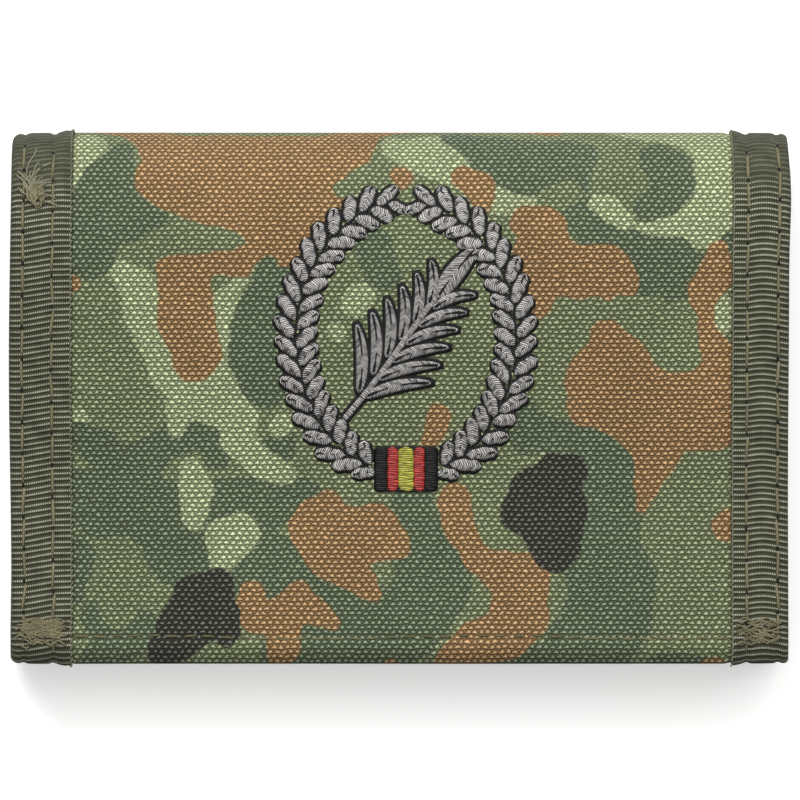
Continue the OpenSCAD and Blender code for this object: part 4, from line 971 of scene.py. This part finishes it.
# A loop between two ends in x, running round anticlockwise: a rectangle with superellipse corners, narrowed towards its left end
def roundedOutline(left, right, half, narrow=1.0, power=5.0, count=40):
    t = np.linspace(0, 2 * math.pi, count, endpoint=False)
    x = np.sign(np.cos(t)) * np.abs(np.cos(t)) ** (2 / power)
    y = np.sign(np.sin(t)) * np.abs(np.sin(t)) ** (2 / power)
    width = half * (narrow + (1 - narrow) * (x + 1) / 2)
    return np.stack([(left + right) / 2 + x * (right - left) / 2, y * width], 1)


slider = {"x": 38.0, "length": 8.0, "half": 2.7, "plate": (4.15, 4.95), "pin": 5.95, "pull": 9.4, "pullHalf": 2.2}


# The part of an outline on one side, moved off the middle line
def aside(outline, shift):
    return outline + np.array([0, shift])


x = slider["x"]
bodyParts = [roundedOutline(x - 4, x + 4, slider["half"], 0.72), roundedOutline(x - 3.2, x + 3.2, 2.0, 0.8),
             aside(roundedOutline(x - 4, x + 4, 0.42, 1, 6), 2.15), aside(roundedOutline(x - 4, x + 4, 0.42, 1, 6), -2.15),
             aside(roundedOutline(x - 1.2, x + 1.2, 0.35, 1, 4), 1.45), aside(roundedOutline(x - 1.2, x + 1.2, 0.35, 1, 4), -1.45)]
bodyDepths = [(4.95, 4.15), (2.42, 2.02), (4.3, 3.3), (4.3, 3.3), (6.75, 4.85), (6.75, 4.85)]
settle(plates("zipSlider", bodyParts, bodyDepths, zincPlate), "zip_slider", "zip_metal", "zip_slider")
pin = slider["pin"]
pullParts = [roundedOutline(x - 4.2, x - 0.3, 0.8, 1, 4), roundedOutline(x - slider["pull"], x - 2.6, slider["pullHalf"], 0.8, 4),
             roundedOutline(x - slider["pull"] + 0.9, x - 4.2, 1.35, 0.8, 3)]
pullDepths = [(pin + 0.42, pin - 0.42), (pin + 0.35, pin - 0.35), (pin + 0.5, pin - 0.5)]
settle(plates("zipPull", pullParts, pullDepths, blackPaint), "zip_pull", "painted_metal", "zip_pull")
pinLine = np.stack([np.full(9, x), zipPath + np.linspace(-1.15, 1.15, 9), np.full(9, pin)], -1)[None]
settle(wires("zipPin", pinLine, 0.45, zincPlate, 12), "zip_pull", "painted_metal")
stopParts = [roundedOutline(-44.4, -43.0, 1.5, 1, 5), roundedOutline(43.0, 44.4, 1.5, 1, 5)]
settle(plates("zipStops", stopParts, [(4.0, 2.95)] * 2, zincPlate), "flap", "zip_metal", "zip_stops")
print("inside of the flap made")


# Back: three card slots, one above the other, each with a narrow edging along its mouth
slots = {"left": -54.0, "right": 45.5, "bottom": -37.0, "mouths": (24.0, 13.0, 2.0), "first": 2.3, "step": 0.8, "cloth": 0.3, "edging": 4.0}


def slotSlack(mouth):
    low, high = float(backPath(mouth)), float(backPath(slots["bottom"]))

    def change(x, path, depth):
        wide = np.sin(np.clip((x - slots["left"]) / (slots["right"] - slots["left"]), 0, 1) * math.pi)
        return slack["slot"] * wide * (1 - np.clip((path - low) / (high - low), 0, 1)) * (1 + 0.4 * np.sin(x * 0.2 + mouth))
    return change


for level, (word, mouth) in enumerate(zip(("Rear", "Middle", "Front"), slots["mouths"])):
    outer = slots["first"] + level * slots["step"]
    ends = float(backPath(mouth)), float(backPath(slots["bottom"]))
    settle(panel("cardSlot" + word, slots["left"], slots["right"], *ends, outer, outer + slots["cloth"], lining, 1.2, slotSlack(mouth)),
           "back", "lining_cloth", "card_slot_" + word.lower())
    lip = panel("cardSlotEdging" + word, slots["left"], slots["right"], ends[0] - 0.15, ends[0] + slots["edging"],
                outer + slots["cloth"], outer + slots["cloth"] + 0.22, ribbon, 1.2, slotSlack(mouth))
    settle(lip, "back", "binding_tape", *(["card_slot_edging"] if level == 0 else []))
    lipSeam = stitches("cardSlotSeam" + word, insideRow, ends[0] + slots["edging"] - 0.9,
                       outer + slots["cloth"] + 0.24 + slack["slot"] * 0.7, oliveThread, 2.0, 0.15, across=True, rise=-0.08)
    settle(lipSeam, "back", "sewing_thread")
frontDepth = slots["first"] + 2 * slots["step"] + slots["cloth"]
columnPath = np.arange(float(backPath(2)) + 1.5, float(backPath(-37)) - 1, insideStitch["pitch"])
sideX = np.repeat([slots["left"] + 0.9, slots["right"] - 0.9], columnPath.size)
insideSeam("cardSlotSeamSides", "back", sideX, np.tile(columnPath, 2), frontDepth)
insideSeam("cardSlotSeamBottom", "back", insideRow, float(backPath(-36)), frontDepth, across=True)
print("card slots made")


# Leaf: a loop strip outside, and a clear window in a cloth frame inside
leafShapes = {"loopHalf": 45.0, "loopLow": -38.0, "loopHigh": -20.0, "left": -47.5, "right": 44.0, "bottom": -36.0, "top": 9.0,
              "film": (2.2, 2.5), "frame": (2.5, 2.8), "border": 4.0, "loops": 2600}
loopStart, loopEnd = float(leafPath(leafShapes["loopLow"])), float(leafPath(leafShapes["loopHigh"]))
loopTape = panel("loopTape", -leafShapes["loopHalf"], leafShapes["loopHalf"], loopStart, loopEnd, -0.55, 0.0, loopNylon, 1.0)
settle(loopTape, "leaf", "loop_tape", "loop_strip")
number = leafShapes["loops"]
lx, lp = chance.uniform(-44.2, 44.2, number), chance.uniform(loopStart + 0.8, loopEnd - 0.8, number)
turn, size = chance.uniform(0, math.pi, number), chance.uniform(0.3, 0.62, number)
arch = np.linspace(0, math.pi, 6)
spread = size[:, None] * np.cos(arch) * 0.9
loops = np.stack([lx[:, None] + np.cos(turn)[:, None] * spread, lp[:, None] + np.sin(turn)[:, None] * spread,
                  -0.5 - size[:, None] * np.sin(arch) * chance.uniform(0.8, 1.1, (number, 1))], -1)
settle(wires("loopPile", loops, 0.06, loopNylon, 4), "leaf", "loop_tape")
filmEnds = float(leafPath(leafShapes["bottom"])), float(leafPath(leafShapes["top"]))
settle(panel("clearWindow", leafShapes["left"] + 1, leafShapes["right"] - 1, filmEnds[0] + 1, filmEnds[1] - 1, *leafShapes["film"], clearFilm), "leaf", "clear_film", "id_window")
border = leafShapes["border"]
borderSpans = (("Bottom", leafShapes["left"], leafShapes["right"], filmEnds[0], filmEnds[0] + border),
               ("Top", leafShapes["left"], leafShapes["right"], filmEnds[1] - border, filmEnds[1]),
               ("Left", leafShapes["left"], leafShapes["left"] + border, filmEnds[0] + border - 0.1, filmEnds[1] - border + 0.1),
               ("Right", leafShapes["right"] - border, leafShapes["right"], filmEnds[0] + border - 0.1, filmEnds[1] - border + 0.1))
for word, left, right, start, end in borderSpans:
    rail = panel("windowFrame" + word, left, right, start, end, *leafShapes["frame"], ribbon, 1.0)
    settle(rail, "leaf", "lining_cloth", *(["id_window_frame"] if word == "Bottom" else []))
frameX = np.arange(leafShapes["left"] + 1.6, leafShapes["right"] - 1, insideStitch["pitch"])
rows = np.repeat([filmEnds[0] + border / 2, filmEnds[1] - border / 2], frameX.size)
insideSeam("windowSeamEnds", "leaf", np.tile(frameX, 2), rows, 2.8, across=True)
framePath = np.arange(filmEnds[0] + border, filmEnds[1] - border, insideStitch["pitch"])
sideX = np.repeat([leafShapes["left"] + border / 2, leafShapes["right"] - border / 2], framePath.size)
insideSeam("windowSeamSides", "leaf", sideX, np.tile(framePath, 2), 2.8)
print("leaf made")


# Loose threads: a frayed knot near the top of the left tape, and tangled backstitches where the hem meets the tapes
frays = {"knotX": -61.6, "knotY": 35.0, "knotThreads": 34, "tangleLow": -40.7, "tangleHigh": -36.8}


# Each loose thread sets off from a point along its heading and turns a little at every step
def looseThreads(name, startX, startPath, heading, length, material, rows=12, lift=0.4, radius=0.11, curl=0.2):
    number = len(startX)
    bearing = heading[:, None] + np.cumsum(chance.normal(0, curl, (number, rows)), 1)
    step = length[:, None] / rows
    x = np.clip(startX[:, None] + np.cumsum(np.cos(bearing) * step, 1), -64.7, 64.7)
    path = startPath[:, None] + np.cumsum(np.sin(bearing) * step, 1)
    depth = -0.7 - lift * np.sin(np.linspace(0.2, math.pi, rows)) * chance.uniform(0.3, 1.0, (number, 1))
    return wires(name, np.stack([x, path, depth], -1), radius, material, 5)


# the knot is a small fan of thread ends over a wound middle, and one end runs up the seam
knotPath = float(flapPath(frays["knotY"]))
number = frays["knotThreads"]
fan = looseThreads("frayedKnot", frays["knotX"] + chance.normal(0, 0.35, number), knotPath + chance.normal(-1.2, 0.5, number),
                   chance.normal(math.pi / 2, 0.6, number), chance.uniform(2.2, 4.2, number), frayThread, radius=0.13)
settle(fan, "flap", "sewing_thread")
turn = np.linspace(0, 2 * math.pi, 22)
size = chance.uniform(0.5, 1.3, (8, 1))
loops = np.stack([frays["knotX"] + 0.9 + chance.normal(0, 0.45, (8, 1)) + size * np.cos(turn), knotPath - 1.4 + chance.normal(0, 0.7, (8, 1)) + 1.5 * size * np.sin(turn),
                  -0.75 - 0.35 * np.abs(np.sin(turn + chance.uniform(0, 6, (8, 1))))], -1)
settle(wires("knotLoops", loops, 0.19, oliveThread), "flap", "sewing_thread")
tail = looseThreads("threadTail", np.array([-62.4, -61.2, -61.8]), np.array([knotPath + 1.5] * 3), np.array([1.65, 1.5, 1.2]),
                    np.array([6.2, 4.4, 3.4]), frayThread, 16, 0.3, 0.13, 0.1)
settle(tail, "flap", "sewing_thread")
for word, left, right, number in (("Left", -64.2, -55.2, 30), ("Right", 56.2, 64.0, 16)):
    low, high = flapSpan(frays["tangleLow"], frays["tangleHigh"])
    t = np.linspace(0, 1, 14)
    fromX, toX = chance.uniform(left, left + 2.5, (number, 1)), chance.uniform(right - 2.5, right, (number, 1))
    zig = np.stack([fromX + (toX - fromX) * t, chance.uniform(low, high, (number, 1)) + chance.normal(0, 0.5, (number, 1)) * (t - 0.5) * 2
                    + 0.35 * np.sin(t * chance.uniform(10, 22, (number, 1)) + chance.uniform(0, 6, (number, 1))),
                    -0.68 - 0.16 * np.abs(np.sin(t * 16 + chance.uniform(0, 6, (number, 1))))], -1)
    settle(wires("hemTangle" + word, zig, 0.16, oliveThread, 5), "flap", "sewing_thread")
print("loose threads made")


# Stage: a matt white board, three soft lights and the camera straight above
stageSettings = {"floor": "#fbfbf9", "glow": 0.5, "room": 0.15, "lensHeight": 1.8, "acrossMm": 133.4, "offX": 0.1, "offY": -0.2}
floorMesh = bpy.data.meshes.new("floor")
floorMesh.from_pydata([(-3, -3, 0), (3, -3, 0), (3, 3, 0), (-3, 3, 0)], [], [(0, 1, 2, 3)])
floor = bpy.data.objects.new("floor", floorMesh)
scene.collection.objects.link(floor)
board = finish("matt white board", plainNodes(stageSettings["floor"], 4.0, 0.005), 0.0, Roughness=0.9, Specular_IOR_Level=0.1)
boardShader = board.node_tree.nodes["Principled BSDF"]
boardShader.inputs["Emission Color"].default_value = (1, 1, 1, 1)
boardShader.inputs["Emission Strength"].default_value = stageSettings["glow"]  # lit from below, as a light table is
floorMesh.materials.append(board)
floor.visible_diffuse = False  # the board throws no light back up under the curled edges
floor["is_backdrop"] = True

# each light has its place and size in metres, and its power in watts
lights = {"keyLight": ((-0.5, 1.5, 1.4), 0.9, 22.5), "fillLight": ((0.9, 0.9, 1.5), 1.2, 11.5), "topLight": ((0, 0.7, 2.1), 2.0, 16.5)}
for name, (spot, size, power) in lights.items():
    light = bpy.data.objects.new(name, bpy.data.lights.new(name, "AREA"))
    light.data.size, light.data.energy = size, power
    light.location = spot
    direction = np.array(spot) / np.linalg.norm(spot)
    light.rotation_euler = (math.acos(direction[2]), 0, math.atan2(direction[0], -direction[1]))
    scene.collection.objects.link(light)
world = bpy.data.worlds.new("softRoom")
world.use_nodes = True
world.node_tree.nodes["Background"].inputs[0].default_value = (1, 1, 1, 1)
# the room lights the wallet faintly, and is seen as a white wall where the board ends
wallSeen = add(world.node_tree, "MapRange", [add(world.node_tree, "LightPath").outputs[0], 0.0, 1.0, stageSettings["room"], 1.0])
world.node_tree.links.new(wallSeen.outputs[0], world.node_tree.nodes["Background"].inputs[1])
scene.world = world

camera = bpy.data.objects.new("camera", bpy.data.cameras.new("camera"))
camera.data.sensor_width = 36
camera.data.lens = 36 * (stageSettings["lensHeight"] - 0.018) / (stageSettings["acrossMm"] * 0.001)
camera.location = (stageSettings["offX"] * 0.001, stageSettings["offY"] * 0.001, stageSettings["lensHeight"])
scene.collection.objects.link(camera)
scene.camera = camera
scene.view_settings.view_transform = "Standard"

low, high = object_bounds()
